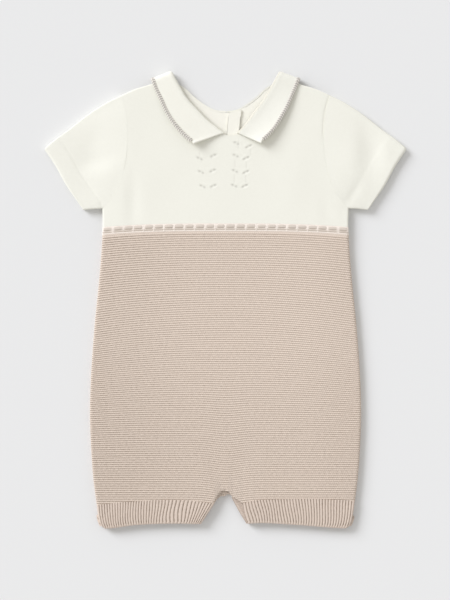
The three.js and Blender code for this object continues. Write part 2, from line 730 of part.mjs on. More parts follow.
function collar(name, tipName, leaf, sign) {
  const radius = COLLAR_HEIGHT / 2;
  const stand = COLLAR_WALL + LAYER_GAP + YOKE_WALL;
  const turned = (1 - Math.SQRT1_2) * COLLAR_ROLL;
  const rolled = [
    [0, radius - stand],
    [0, radius - COLLAR_ROLL],
    [turned, radius - turned],
    [COLLAR_ROLL, radius],
  ];
  const stations = collarStations(leaf, sign);
  const bare = (k) => k === 0 || k === stations.length - 1;
  const outer = stations.map((at, k) => {
    const end = at.reach - (bare(k) ? 0 : TIPPING_WIDTH + LAYER_GAP);
    const flat = [0.3, 0.55, 0.8, 1].map((q) => [end * q, leafRise(at, end * q)]);
    return [...rolled, ...flat].map(([reach, rise]) => collarPoint(at, reach, rise));
  });
  strip(name, outer, COLLAR_WALL, CREAM);
  const edged = stations.slice(1, -1).map((at) => [0, 0.5, 1].map((q) => {
    const reach = at.reach - TIPPING_WIDTH * (1 - q);
    const crown = at.angle > 0 && q === 0.5 ? TIPPING_HEIGHT : 0;
    return collarPoint(at, reach, leafRise(at, reach) + crown);
  }));
  strip(tipName, edged, COLLAR_WALL, EDGING);
}

function inseamBand() {
  const low = BODY_WALL + LAYER_GAP;
  const outer = INSEAM_BAND_ROWS.map((row) => [
    new THREE.Vector3(row.outerX, row.outerY, low + BAND_WALL),
    new THREE.Vector3(row.innerX, row.innerY, low + BAND_WALL),
  ]);
  strip('inseam_band', outer, BAND_WALL, BEIGE);
}

frontYoke();
backYoke('back_yoke_left', -1);
backYoke('back_yoke_right', 1);
placketBand('placket_outer', BAND_WALL);
placketBand('placket_inner', 2 * BAND_WALL + LAYER_GAP);
BUTTON_ROWS.forEach((y, k) => button(`button_${k + 1}`, y));
sleeve('sleeve_left', -1);
sleeve('sleeve_right', 1);
collar('collar_left', 'tipping_left', LEFT_LEAF, -1);
collar('collar_right', 'tipping_right', RIGHT_LEAF, 1);
waistBand('waist_front', 1);
waistBand('waist_back', -1);
bodyPanel('body_front', 1, 8, 10);
bodyPanel('body_back', -1, 6, 6);
ribPanel('rib_left_front', LEFT_RIB_SEAM, LEFT_HEM, 1, -1);
ribPanel('rib_left_back', LEFT_RIB_SEAM, LEFT_HEM, -1, -1);
ribPanel('rib_right_front', RIGHT_RIB_SEAM, RIGHT_HEM, 1, 1);
ribPanel('rib_right_back', RIGHT_RIB_SEAM, RIGHT_HEM, -1, 1);
inseamBand();

export default romper;
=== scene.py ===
# %% [markdown]
# # A knitted baby romper, laid flat
# The garment is knitted in two yarns: a cream yoke with short sleeves and a split collar, and a
# beige shorts body in garter stitch with ribbed hems. It lies face up, front on back, and is
# seen from straight above. Every piece is made as a thin wall on the form of its plain solid,
# and the stitches that can be felt are real relief, while the yarn is left to the materials.

# %% Start
import json
import math
import bpy
import numpy as np
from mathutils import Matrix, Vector

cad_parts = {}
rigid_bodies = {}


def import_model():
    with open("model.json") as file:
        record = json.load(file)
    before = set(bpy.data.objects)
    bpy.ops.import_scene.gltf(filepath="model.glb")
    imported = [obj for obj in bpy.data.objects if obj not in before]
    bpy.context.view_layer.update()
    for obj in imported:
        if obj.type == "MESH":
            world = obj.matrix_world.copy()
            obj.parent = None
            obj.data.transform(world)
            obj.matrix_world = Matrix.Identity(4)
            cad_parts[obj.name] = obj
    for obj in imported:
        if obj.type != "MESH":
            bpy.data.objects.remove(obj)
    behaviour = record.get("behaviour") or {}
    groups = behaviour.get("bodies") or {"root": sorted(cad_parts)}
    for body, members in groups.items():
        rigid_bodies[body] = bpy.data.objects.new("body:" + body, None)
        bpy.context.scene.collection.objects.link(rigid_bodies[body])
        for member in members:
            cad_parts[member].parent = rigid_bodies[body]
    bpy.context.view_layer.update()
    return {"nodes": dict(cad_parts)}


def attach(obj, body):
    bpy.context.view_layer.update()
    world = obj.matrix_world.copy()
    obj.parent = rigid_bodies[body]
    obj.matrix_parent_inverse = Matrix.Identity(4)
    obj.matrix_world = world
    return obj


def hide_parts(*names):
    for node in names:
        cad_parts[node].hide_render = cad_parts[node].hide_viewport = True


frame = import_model()
MM = 0.001

# %% [markdown]
# ## Camera
# The photo was taken from straight above, from far enough away that nothing leans. One pixel is
# 0.95 mm on the cloth, so the picture is 570 mm high. A long lens at 2.4 m gives that flat look.

# %% Camera
PIXEL = 0.95
PICTURE_PIXELS = (450, 600)
CAMERA_HEIGHT = 2.4
CLOTH_HEIGHT = 0.006
SENSOR = 24.0

camera_data = bpy.data.cameras.new("camera")
camera = bpy.data.objects.new("camera", camera_data)
bpy.context.scene.collection.objects.link(camera)
camera_data.sensor_fit = "VERTICAL"
camera_data.sensor_height = SENSOR
camera_data.lens = SENSOR * (CAMERA_HEIGHT - CLOTH_HEIGHT) / (PICTURE_PIXELS[1] * PIXEL * MM)
camera.location = (-0.5 * PIXEL * MM, 0.0, CAMERA_HEIGHT)
bpy.context.scene.camera = camera
print("lens:", round(camera_data.lens, 2), "mm")

# %% [markdown]
# ## Light and surface
# The shadows are soft and fall to the right and downwards, a little longer than the cloth is
# thick. A low sun with a wide disc gives them the same softness everywhere, and an even,
# slightly warm sky keeps them pale. The surface is plain pale grey, lighter than any shadow.

# %% Light and surface
SUN_STRENGTH = 2.50
SUN_DISC = math.radians(30)
SKY_STRENGTH = 0.68
SUN_FROM = Vector((-1.0, 0.74, 0.70))
SUN_COLOUR = (0.985, 1.005, 1.055)
SKY_COLOUR = (1.0, 0.99, 0.97, 1.0)
SURFACE_COLOUR = (0.775, 0.775, 0.775, 1.0)
SURFACE_HALF = 3
SURFACE_DROP = 0.0002

sun_data = bpy.data.lights.new("sun", "SUN")
sun_data.energy = SUN_STRENGTH
sun_data.angle = SUN_DISC
sun_data.color = SUN_COLOUR
sun = bpy.data.objects.new("sun", sun_data)
bpy.context.scene.collection.objects.link(sun)
sun.rotation_euler = SUN_FROM.to_track_quat("Z", "Y").to_euler()

world = bpy.data.worlds.new("sky")
bpy.context.scene.world = world
world.use_nodes = True
world.node_tree.nodes["Background"].inputs["Color"].default_value = SKY_COLOUR
world.node_tree.nodes["Background"].inputs["Strength"].default_value = SKY_STRENGTH

floor_mesh = bpy.data.meshes.new("floor")
floor_mesh.from_pydata([(x * SURFACE_HALF, y * SURFACE_HALF, 0)
                        for x, y in ((-1, -1), (1, -1), (1, 1), (-1, 1))], [], [(0, 1, 2, 3)])
floor = bpy.data.objects.new("floor", floor_mesh)
floor.location.z = -SURFACE_DROP
bpy.context.scene.collection.objects.link(floor)
bpy.context.scene.view_settings.view_transform = "Standard"
print("sun from", [round(c, 2) for c in SUN_FROM.normalized()])

# %% [markdown]
# ## The cut
# These are the outlines of the pieces as they lie, in millimetres, with the origin under the
# middle of the garment. They are the same lines that the solids were drawn from, so each fine
# piece lies on the form that it replaces, only with closer seams. Left and right are as seen
# from above.

# %% Outlines
UNDERARM_Y = 87.0
WAIST_Y = 69.8
WAIST_DROOP = 3.5
WAIST_ABOVE = 3.0
WAIST_BELOW = 4.4
SEAM = 0.4
SEAM_SHOWN = 0.03

SIDE = [(-217, 116.6), (-209, 120.2), (-195, 122.4), (-171, 125.6), (-141, 127.8), (-110, 128.9),
        (-80, 128.3), (-50, 126.5), (-19, 124.0), (11, 120.9), (42, 118.2), (68, 116.7),
        (UNDERARM_Y, 117.0)]
SHOULDER = [(53, 211.0), (73, 204.3), (86, 200.4), (99.3, 194.6)]
SLEEVE_TOP = [(99.3, 194.6), (113.5, 187.4), (130.6, 176.4), (149.6, 161.5), (161.5, 152.8),
              (172.4, 143.4)]
ARMHOLE = [(99.3, 194.6), (94.6, 178), (93.2, 163), (93.6, 142), (96.5, 124), (103.5, 104),
           (117.0, UNDERARM_Y)]
CUFF = [(172.4, 143.4), (161.5, 127), (151.2, 108.4), (135.4, 85.6)]
UNDERARM = [(117.0, UNDERARM_Y), (126, 86.6), (135.4, 85.6)]
LEFT_RIB_SEAM = [(-122.4, -194.9), (-106.9, -192.9), (-76.5, -190.6), (-41.3, -190.0),
                 (-10.4, -193.1)]
RIGHT_RIB_SEAM = [(16.4, -193.1), (29, -190.2), (72.7, -188.9), (107.8, -189.7), (122.8, -190.9)]
CROTCH = [(-10.4, -193.1), (-6.9, -187.4), (-3.8, -182.8), (-0.5, -181.3), (2.6, -181.9),
          (6.7, -186.6), (10.9, -189.4), (16.4, -193.1)]
LEFT_HEM = [(-117.4, -214.6), (-113.5, -217.2), (-85.5, -213.8), (-53.7, -212.4), (-23.3, -212.8)]
RIGHT_HEM = [(20.8, -212.4), (37.5, -211.9), (72.7, -214.0), (113.5, -216.9), (117.4, -214.6)]
INSEAM_BAND = [(5.6, -187.6, 12.6, -184.4), (8.6, -193.2, 17.2, -191.2),
               (14.2, -203.4, 22.6, -200.6), (20.0, -212.6, 28.2, -211.8)]

# %% [markdown]
# The collar is one strip on each side. Each row gives its fold at the neck and the outer edge of
# the leaf, first from the centre front to the shoulder, then from the shoulder to the centre back.

# %% Collar rows
LEFT_LEAF = [(0.5, 158.9, 29.9, 148.7), (3.2, 160.4, 33.4, 150.4), (9.4, 165.2, 38.2, 154.2),
             (16.4, 170.8, 43.6, 159.4), (23.4, 177.8, 49.4, 166.2), (29.6, 184.2, 54.4, 173.6),
             (35.6, 191.1, 59.0, 182.2), (41.6, 200.4, 63.4, 192.4), (46.2, 208.4, 67.2, 200.6)]
RIGHT_LEAF = [(10.6, 158.7, 33.3, 149.2), (12.6, 160.6, 36.4, 151.4), (16.0, 164.2, 41.0, 155.6),
              (20.6, 169.8, 45.6, 160.6), (25.6, 176.6, 50.8, 167.8), (30.8, 183.6, 55.2, 175.2),
              (36.2, 191.1, 59.6, 183.4), (41.8, 200.4, 63.6, 192.6), (46.2, 208.4, 67.0, 200.6)]
BACK_LEAF = [(48.2, 209.6, 67.6, 200.8), (45.2, 205.6, 63.6, 192.6), (37.6, 200.8, 55.6, 178.6),
             (29.4, 193.0, 44.6, 166.6), (20.4, 186.2, 31.6, 157.4), (10.4, 181.0, 16.6, 152.2),
             (0.3, 179.6, 0.3, 150.8)]
SHOULDER_FOLD = (49.2, 213.85, 69.0, 206.0)
SHOULDER_SLOPE = (0.355, 0.935)
FRONT_NECK_POINT = (5.5, 155.9)
PLACKET_TOP = (8.6, 175.0)
PLACKET_FOOT = (0.0, 73.2)
PLACKET_WIDTH = 11.7
BACK_NECK_Y = 176.6
ARMHOLE_LENGTH = 118.0
HALF_WAIST = 117
RIB_STITCH = 2.8

# %% [markdown]
# ## Heights
# Laid out, the romper is two layers of knit and about 7 mm thick in the body, less in the
# sleeves. Where front and back are joined the cloth rolls over, so each layer's height follows a
# pressed curve down to the fold, flatter than a quarter circle, and flatter still in the fine
# cream knit. The back rises a little where the collar's back leaves and the buttons lie beneath
# it. Soft hollows and folds give the sleeves, the yoke and the crotch their shading.

# %% Heights
YOKE_WALL = 1.5
BODY_WALL = 2.2
RIB_WALL = 1.9
COLLAR_WALL = 1.6
CUFF_WALL = 2.2
BAND_WALL = 1.5
LAYER_GAP = 0.3
ROLL_POWER = 3.0
YOKE_ROLL_POWER = 6.0
FRONT_HEIGHT = 7.3
SLEEVE_HEIGHT = 5.6
BACK_RISE = 1.9
COLLAR_HEIGHT = FRONT_HEIGHT + LAYER_GAP + COLLAR_WALL
COLLAR_LIFT = 6.5
STAND_ROOM = COLLAR_WALL + 0.03

# middle x, middle y, half length, half width, turn in degrees, rise
SWELLS = [(-129, 141, 20, 11, 60, -0.9), (-115, 115, 24, 12, 75, 0.5), (134, 143, 22, 9, 95, -0.9),
          (112, 127, 24, 12, 90, 0.5), (150, 146, 14, 8, 110, 0.4), (-9, -160, 26, 9, 115, -0.5),
          (13, -158, 24, 9, 65, -0.4)]

# shallow folds of the fine cloth, in the same columns
CREASES = [(-121.6, 131.6, 17, 9, 17, -1.1), (-129.7, 106, 20, 5, 126, -0.5),
           (-113, 113, 24, 12, 78, -0.25), (124, 134, 24, 10, 90, 0.7), (143, 139, 17, 8, 85, -0.7),
           (122, 101, 14, 4, 58, -0.6), (-88, 92, 25, 7, 90, -0.8), (96, 84, 16, 7, 100, -0.4),
           (66, 118, 40, 14, 80, 0.3)]


def smoothstep(low, high, value):
    q = np.clip((value - low) / (high - low), 0, 1)
    return q * q * (3 - 2 * q)


def over(rows):
    """Smooth curve through rows of two numbers: the second one, sampled by the first."""
    table = np.array(sorted(rows), float)
    a, b = table[:, 0], table[:, 1]
    low, high = np.maximum(np.arange(len(a)) - 1, 0), np.minimum(np.arange(len(a)) + 1, len(a) - 1)
    slope = (b[high] - b[low]) / (a[high] - a[low])

    def sample(value):
        value = np.asarray(value, float)
        k = np.clip(np.searchsorted(a, value, side="right") - 1, 0, len(a) - 2)
        span = a[k + 1] - a[k]
        q = np.clip((value - a[k]) / span, 0, 1)
        h = q * q * (3 - 2 * q)
        return (b[k] * (1 - h) + b[k + 1] * h
                + span * (slope[k] * q * (1 - q) ** 2 - slope[k + 1] * q * q * (1 - q)))
    return sample


def spline(points, count):
    """Dense points on a smooth curve through points, evenly stepped between each two."""
    p = np.array(points, float)
    p = np.concatenate([[2 * p[0] - p[1]], p, [2 * p[-1] - p[-2]]])
    q = np.linspace(0, 1, count, endpoint=False)[:, None]
    q = q.reshape((-1,) + (1,) * (p.ndim - 1))
    spans = []
    for k in range(1, len(p) - 2):
        gaps = [max(float(np.linalg.norm(p[m + 1] - p[m])) ** 0.5, 1e-6) for m in (k - 1, k, k + 1)]
        t1 = (p[k] - p[k - 1]) / gaps[0] - (p[k + 1] - p[k - 1]) / (gaps[0] + gaps[1]) \
            + (p[k + 1] - p[k]) / gaps[1]
        t2 = (p[k + 1] - p[k]) / gaps[1] - (p[k + 2] - p[k]) / (gaps[1] + gaps[2]) \
            + (p[k + 2] - p[k + 1]) / gaps[2]
        t1, t2 = t1 * gaps[1], t2 * gaps[1]
        spans.append(p[k] + t1 * q + (3 * (p[k + 1] - p[k]) - 2 * t1 - t2) * q ** 2
                     + (2 * (p[k] - p[k + 1]) + t1 + t2) * q ** 3)
    return np.concatenate(spans + [p[-2][None]])


def line(rows):
    """Smooth curve in the plane through the rows, from 0 to 1 by its length."""
    dense = spline(rows, 24)
    length = np.concatenate([[0], np.cumsum(np.linalg.norm(np.diff(dense, axis=0), axis=1))])
    length /= length[-1]
    return lambda q: np.stack([np.interp(q, length, dense[:, k]) for k in (0, 1)], -1)


def mirrored(rows):
    return [(-row[0], *row[1:]) for row in rows]


def on_side(sign, rows):
    return mirrored(rows) if sign < 0 else list(rows)


half_width = over(SIDE)
side_line = [(float(half_width(UNDERARM_Y - 8 * k)), UNDERARM_Y - 8 * k) for k in range(39)]
left_inner_leg = CROTCH[3::-1] + [LEFT_HEM[-1]]
fold_lines = [line(rows)(np.linspace(0, 1, 41))
              for base in (side_line, SHOULDER, SLEEVE_TOP, UNDERARM)
              for rows in (base, mirrored(base))]
fold_lines.append(line(left_inner_leg)(np.linspace(0, 1, 41)))
back_neck = np.array([(n[0], n[1]) for n in BACK_LEAF] + [(-n[0], n[1]) for n in BACK_LEAF[::-1]])


def distance_to(points, xy, reach):
    """Distance from each place to a line of points, where it is under reach."""
    found = np.full(xy.shape[:-1], float(reach))
    near = np.all((xy > points.min(0) - reach) & (xy < points.max(0) + reach), -1)
    p = xy[near][:, None]
    a, run = points[:-1][None], np.diff(points, axis=0)[None]
    q = np.clip(((p - a) * run).sum(-1) / np.maximum((run ** 2).sum(-1), 1e-9), 0, 1)
    found[near] = np.minimum(np.linalg.norm(p - a - q[..., None] * run, axis=-1).min(1), reach)
    return found


def placket_centre(y):
    q = (y - PLACKET_FOOT[1]) / (PLACKET_TOP[1] - PLACKET_FOOT[1])
    return PLACKET_FOOT[0] + (PLACKET_TOP[0] - PLACKET_FOOT[0]) * q


def swell(x, y, rows):
    total = 0.0
    for mx, my, half_long, half_wide, turn, rise in rows:
        c, s = math.cos(math.radians(turn)), math.sin(math.radians(turn))
        lengthwise = ((x - mx) * c + (y - my) * s) / half_long
        sideways = ((y - my) * c - (x - mx) * s) / half_wide
        total = total + rise * np.exp(-lengthwise ** 2 - sideways ** 2)
    return total


def front_height(x, y):
    thinning = smoothstep(88, 150, np.abs(x))
    return FRONT_HEIGHT - (FRONT_HEIGHT - SLEEVE_HEIGHT) * thinning + swell(x, y, SWELLS + CREASES)


def back_height(x, y):
    over_collar = 1 - smoothstep(31, 52, distance_to(back_neck, np.stack([x, y], -1), 60))
    beside = 1 - smoothstep(8, 34, np.abs(x - placket_centre(y)))
    over_placket = beside * smoothstep(74, 92, y)
    return BACK_RISE * np.maximum(over_collar, over_placket) * (1 - smoothstep(80, 96, np.abs(x)))


def drape(xy, side):
    """Lays places in the plane on the front (side 1) or the back (side -1)."""
    x, y = xy[..., 0], xy[..., 1]
    top, low = front_height(x, y), back_height(x, y)
    half, middle = (top - low) / 2, (top + low) / 2
    away = np.min([distance_to(points, xy, 8) for points in fold_lines], axis=0)
    q = 1 - np.minimum(away / half, 1)
    power = ROLL_POWER + (YOKE_ROLL_POWER - ROLL_POWER) * smoothstep(58, 70, y)
    rise = SEAM / 2 + (half - SEAM / 2) * (1 - q ** power) ** (1 / power)
    return np.stack([x, y, middle + side * rise], -1)


print("half chest:", 2 * float(half_width(UNDERARM_Y)), "mm")

# %% [markdown]
# ## Walls
# Each piece is a grid of outer points with a second grid inside it, one wall away, joined round
# the edges into a closed skin. Relief, such as a rib or a ridge, moves only the outer points.
# Each grid also carries the stitch directions as a flat map in millimetres, so that the knit
# in the material runs with the cloth.

# %% Walls
def patch(left, right, bottom, top, s, v):
    """Grid between four edge curves; s runs from left to right and v from bottom to top."""
    across, up = s[None, :, None], v[:, None, None]
    zero, one = np.zeros(1), np.ones(1)
    grid = left(v)[:, None] * (1 - across) + right(v)[:, None] * across
    grid = grid + bottom(s)[None] * (1 - up) + top(s)[None] * up
    grid = grid - bottom(zero)[None] * (1 - across) * (1 - up) - bottom(one)[None] * across * (1 - up)
    return grid - top(zero)[None] * (1 - across) * up - top(one)[None] * across * up


def steps(count, length, start, end, radius=FRONT_HEIGHT / 2):
    """Steps from 0 to 1 that bunch where the cloth rolls over at either end."""
    roll = (1 - np.cos(np.radians([0, 15, 30, 45, 60, 75, 90]))) * radius / length
    first = roll if start else np.zeros(1)
    last = 1 - (roll if end else np.zeros(1))[::-1]
    middle = np.linspace(first[-1], last[0], count + 1)[1:-1]
    return np.concatenate([first, middle, last])


def facing(grid, side, ring=False):
    """Unit normals of a grid, turned so that the middle one looks to side."""
    if ring:
        across = np.roll(grid, -1, 1) - np.roll(grid, 1, 1)
    else:
        across = np.gradient(grid, axis=1)
    normal = np.cross(across, np.gradient(grid, axis=0))
    normal /= np.maximum(np.linalg.norm(normal, axis=-1, keepdims=True), 1e-9)
    probe = normal[grid.shape[0] // 2, grid.shape[1] // (4 if ring else 2), 2]
    return normal * (1 if probe * side > 0 else -1)


def hold_to_side(inner, side):
    """Keeps a panel's inner points on their own side of the fold."""
    x, y = inner[..., 0], inner[..., 1]
    fold = (front_height(x, y) + back_height(x, y)) / 2 + side * SEAM / 2
    inner[..., 2] = np.maximum(inner[..., 2], fold) if side > 0 else np.minimum(inner[..., 2], fold)
    return inner


def skin(name, outer, inner, flat_map, marks=None, ring=False, thin=1):
    """Closed skin of two grids. thin keeps only every so many rows of the inner one."""
    rows, cols = outer.shape[:2]
    kept = list(range(0, rows, thin))
    if kept[-1] != rows - 1:
        kept.append(rows - 1)
    inner = inner[kept]
    points = np.concatenate([outer.reshape(-1, 3), inner.reshape(-1, 3)]) * MM
    base = rows * cols
    across = cols if ring else cols - 1
    j = np.arange(across)
    n = (j + 1) % cols

    def quads(first, count, flip):
        i = np.arange(count)[:, None] * cols + first
        ring_of = [i + j, i + cols + j, i + cols + n, i + n]
        return np.stack(ring_of[::-1] if flip else ring_of, -1).reshape(-1, 4)
    faces = [quads(0, rows - 1, False), quads(base, len(kept) - 1, True)]
    last, inner_last = (rows - 1) * cols, base + (len(kept) - 1) * cols
    faces.append(np.stack([j, n, base + n, base + j], -1))
    faces.append(np.stack([last + j, inner_last + j, inner_last + n, last + n], -1))
    faces = np.concatenate(faces).tolist()
    if not ring:
        for m in range(len(kept) - 1):
            a, b = kept[m], kept[m + 1]
            for column, turn in ((0, 1), (cols - 1, -1)):
                low, high = base + m * cols + column, base + (m + 1) * cols + column
                for k in range(a, b):
                    faces.append([k * cols + column, low, (k + 1) * cols + column][::turn])
                faces.append([b * cols + column, low, high][::turn])
    corner = points[np.array([f[:3] for f in faces])]
    inside_out = (corner[:, 0] * np.cross(corner[:, 1], corner[:, 2])).sum() < 0
    mesh = bpy.data.meshes.new(name)
    mesh.from_pydata(points.tolist(), [], [f[::-1] for f in faces] if inside_out else faces)
    where = np.zeros(len(mesh.loops), int)
    mesh.loops.foreach_get("vertex_index", where)
    maps = np.concatenate([flat_map.reshape(-1, 2), flat_map[kept].reshape(-1, 2)])
    mesh.uv_layers.new(name="stitches").data.foreach_set("uv", maps[where].ravel())
    for mark, values in (marks or {}).items():
        both = np.concatenate([values.ravel(), values[kept].ravel()]).astype(np.float32)
        mesh.attributes.new(mark, "FLOAT", "POINT").data.foreach_set("value", both)
    mesh.shade_smooth()
    mesh.set_sharp_from_angle(angle=math.radians(55))
    piece = bpy.data.objects.new(name, mesh)
    bpy.context.scene.collection.objects.link(piece)
    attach(piece, "root")
    return piece


def triangles(piece):
    return sum(len(p.vertices) - 2 for p in piece.data.polygons)


random = np.random.default_rng(11)


def wander(x, y, length, count=7):
    """Soft uneven field between about -1 and 1, with the given wave length in millimetres."""
    total = np.zeros(np.broadcast(x, y).shape)
    for k in range(count):
        turn, phase = random.uniform(0, 2 * np.pi, 2)
        wave = length * random.uniform(0.7, 1.5)
        total += np.sin(2 * np.pi * (x * np.cos(turn) + y * np.sin(turn)) / wave + phase)
    return total / count ** 0.5 / 1.4


# %% [markdown]
# ## Stitches as shader groups
# The yarn and its stitches are shared by every material, so each is a small group of nodes.
# `Stocking stitch` draws columns of V-shaped loops, as on the face of fine jersey. `Purl bumps`
# draws the short arcs that stand side by side on a garter ridge. `Yarn` gives a colour its
# soft unevenness and a painted shade in the hollows between stitches. `Fibres` is the fine fuzz
# of cotton.

# %% Node helpers
def new_group(name, inputs, outputs):
    group = bpy.data.node_groups.new(name, "ShaderNodeTree")
    for label, kind, value in inputs:
        socket = group.interface.new_socket(label, in_out="INPUT", socket_type=kind)
        if value is not None:
            socket.default_value = value
    for label, kind in outputs:
        group.interface.new_socket(label, in_out="OUTPUT", socket_type=kind)
    return group, group.nodes.new("NodeGroupInput"), group.nodes.new("NodeGroupOutput")


def sum_of(tree, kind, *values):
    """A math node; values are numbers or sockets."""
    node = tree.nodes.new("ShaderNodeMath")
    node.operation = kind
    for socket, value in zip(node.inputs, values):
        if isinstance(value, (int, float)):
            socket.default_value = value
        else:
            tree.links.new(value, socket)
    return node.outputs[0]


def mix_colour(tree, share, first, second, kind="MIX"):
    node = tree.nodes.new("ShaderNodeMix")
    node.data_type = "RGBA"
    node.blend_type = kind
    for socket, value in ((node.inputs[0], share), (node.inputs[6], first), (node.inputs[7], second)):
        if isinstance(value, (int, float, tuple)):
            socket.default_value = value
        else:
            tree.links.new(value, socket)
    return node.outputs[2]


def noise(tree, vector, scale, detail=2.0):
    node = tree.nodes.new("ShaderNodeTexNoise")
    node.inputs["Scale"].default_value = scale
    node.inputs["Detail"].default_value = detail
    tree.links.new(vector, node.inputs["Vector"])
    return node.outputs["Fac"]


# %% [markdown]
# A stocking stitch is two slanted legs that meet low in the column's middle. The height of a leg
# is a round hump across it, broken once a row, and the rows slide up towards the column's edge.

# %% Stocking stitch
stocking, group_in, group_out = new_group(
    "Stocking stitch",
    [("Map", "NodeSocketVector", None), ("Stitch width", "NodeSocketFloat", 1.3),
     ("Row height", "NodeSocketFloat", 1.0)],
    [("Height", "NodeSocketFloat"), ("Hollow", "NodeSocketFloat")])
apart = stocking.nodes.new("ShaderNodeSeparateXYZ")
stocking.links.new(group_in.outputs["Map"], apart.inputs[0])
column = sum_of(stocking, "DIVIDE", apart.outputs[0], group_in.outputs["Stitch width"])
off_centre = sum_of(stocking, "ABSOLUTE", sum_of(
    stocking, "SUBTRACT", sum_of(stocking, "FRACT", column), 0.5))
row = sum_of(stocking, "DIVIDE", apart.outputs[1], group_in.outputs["Row height"])
slid = sum_of(stocking, "ADD", row, sum_of(stocking, "MULTIPLY", off_centre, 1.3))
along_leg = sum_of(stocking, "SINE", sum_of(
    stocking, "MULTIPLY", sum_of(stocking, "FRACT", slid), math.pi))
across_leg = sum_of(stocking, "SINE", sum_of(stocking, "MULTIPLY", off_centre, 2 * math.pi))
leg = sum_of(stocking, "POWER", sum_of(
    stocking, "MAXIMUM", sum_of(stocking, "MULTIPLY", along_leg, across_leg), 0.0001), 0.5)
stocking.links.new(leg, group_out.inputs["Height"])
stocking.links.new(sum_of(stocking, "SUBTRACT", 1.0, leg), group_out.inputs["Hollow"])

# %% [markdown]
# On a garter ridge the loops stand as short arcs. Every second ridge is shifted by half a loop.

# %% Purl bumps
purl, group_in, group_out = new_group(
    "Purl bumps",
    [("Map", "NodeSocketVector", None), ("Loop width", "NodeSocketFloat", 1.9),
     ("Ridge pitch", "NodeSocketFloat", 2.08)],
    [("Height", "NodeSocketFloat"), ("Hollow", "NodeSocketFloat")])
apart = purl.nodes.new("ShaderNodeSeparateXYZ")
purl.links.new(group_in.outputs["Map"], apart.inputs[0])
ridge = sum_of(purl, "DIVIDE", apart.outputs[1], group_in.outputs["Ridge pitch"])
loops = sum_of(purl, "DIVIDE", apart.outputs[0], group_in.outputs["Loop width"])
shifted = sum_of(purl, "ADD", loops, sum_of(purl, "MULTIPLY", sum_of(purl, "FLOOR", ridge), 0.5))
arc = sum_of(purl, "ABSOLUTE", sum_of(purl, "SINE", sum_of(purl, "MULTIPLY", shifted, math.pi)))
crown = sum_of(purl, "SINE", sum_of(purl, "MULTIPLY", sum_of(purl, "FRACT", ridge), math.pi))
bump = sum_of(purl, "POWER", sum_of(
    purl, "MAXIMUM", sum_of(purl, "MULTIPLY", arc, crown), 0.0001), 0.6)
purl.links.new(bump, group_out.inputs["Height"])
purl.links.new(sum_of(purl, "SUBTRACT", 1.0, bump), group_out.inputs["Hollow"])

# %% [markdown]
# The painted shade in the hollow between two ridges is never drawn through: loops reach over it here and
# there.

# %% Broken lines
broken, group_in, group_out = new_group(
    "Broken lines",
    [("Map", "NodeSocketVector", None), ("Share", "NodeSocketFloat", 0.0),
     ("Stretch", "NodeSocketVector", (1.0, 1.0, 1.0)), ("Gaps", "NodeSocketFloat", 0.5)],
    [("Share", "NodeSocketFloat")])
drawn = broken.nodes.new("ShaderNodeVectorMath")
drawn.operation = "MULTIPLY"
broken.links.new(group_in.outputs["Map"], drawn.inputs[0])
broken.links.new(group_in.outputs["Stretch"], drawn.inputs[1])
patchy = sum_of(broken, "SUBTRACT", noise(broken, drawn.outputs[0], 1.0, 1.0), 0.5)
patchy = sum_of(broken, "MULTIPLY", sum_of(broken, "MULTIPLY", patchy, 4.0), group_in.outputs["Gaps"])
patchy = sum_of(broken, "MULTIPLY", group_in.outputs["Share"], sum_of(broken, "ADD", patchy, 1.0))
broken.links.new(patchy, group_out.inputs["Share"])

# %% [markdown]
# Yarn is never one flat colour: it is a little lighter and darker from row to row. The hollows
# between the stitches, where light is lost, are painted a shade darker.

# %% Yarn and fibres
yarn, group_in, group_out = new_group(
    "Yarn",
    [("Colour", "NodeSocketColor", (0.8, 0.8, 0.8, 1.0)),
     ("Shade", "NodeSocketColor", (0.6, 0.6, 0.6, 1.0)), ("Hollow", "NodeSocketFloat", 0.0),
     ("Depth", "NodeSocketFloat", 0.3), ("Unevenness", "NodeSocketFloat", 0.05)],
    [("Colour", "NodeSocketColor")])
place = yarn.nodes.new("ShaderNodeTexCoord").outputs["Object"]
cloudy = sum_of(yarn, "MULTIPLY", noise(yarn, place, 14.0, 2.0), 0.35)
grainy = sum_of(yarn, "MULTIPLY", noise(yarn, place, 420.0, 1.0), 2.2)
uneven = sum_of(yarn, "SUBTRACT", sum_of(yarn, "ADD", cloudy, grainy), 1.05)
# painted shade in the stitch hollows
share = sum_of(yarn, "MULTIPLY", group_in.outputs["Hollow"], group_in.outputs["Depth"])
share = sum_of(yarn, "ADD", share, sum_of(yarn, "MULTIPLY", uneven, group_in.outputs["Unevenness"]))
share_node = yarn.nodes.new("ShaderNodeClamp")
yarn.links.new(share, share_node.inputs[0])
yarn.links.new(mix_colour(yarn, share_node.outputs[0], group_in.outputs["Colour"],
                          group_in.outputs["Shade"]), group_out.inputs["Colour"])

fibres, group_in, group_out = new_group(
    "Fibres", [("Stitches", "NodeSocketFloat", 0.0), ("Fuzz", "NodeSocketFloat", 0.2)],
    [("Height", "NodeSocketFloat")])
place = fibres.nodes.new("ShaderNodeTexCoord").outputs["Object"]
fuzz = sum_of(fibres, "MULTIPLY", noise(fibres, place, 2600.0, 3.0), group_in.outputs["Fuzz"])
fibres.links.new(sum_of(fibres, "ADD", group_in.outputs["Stitches"], fuzz),
                 group_out.inputs["Height"])
print("shader groups:", [group.name for group in (stocking, purl, broken, yarn, fibres)])
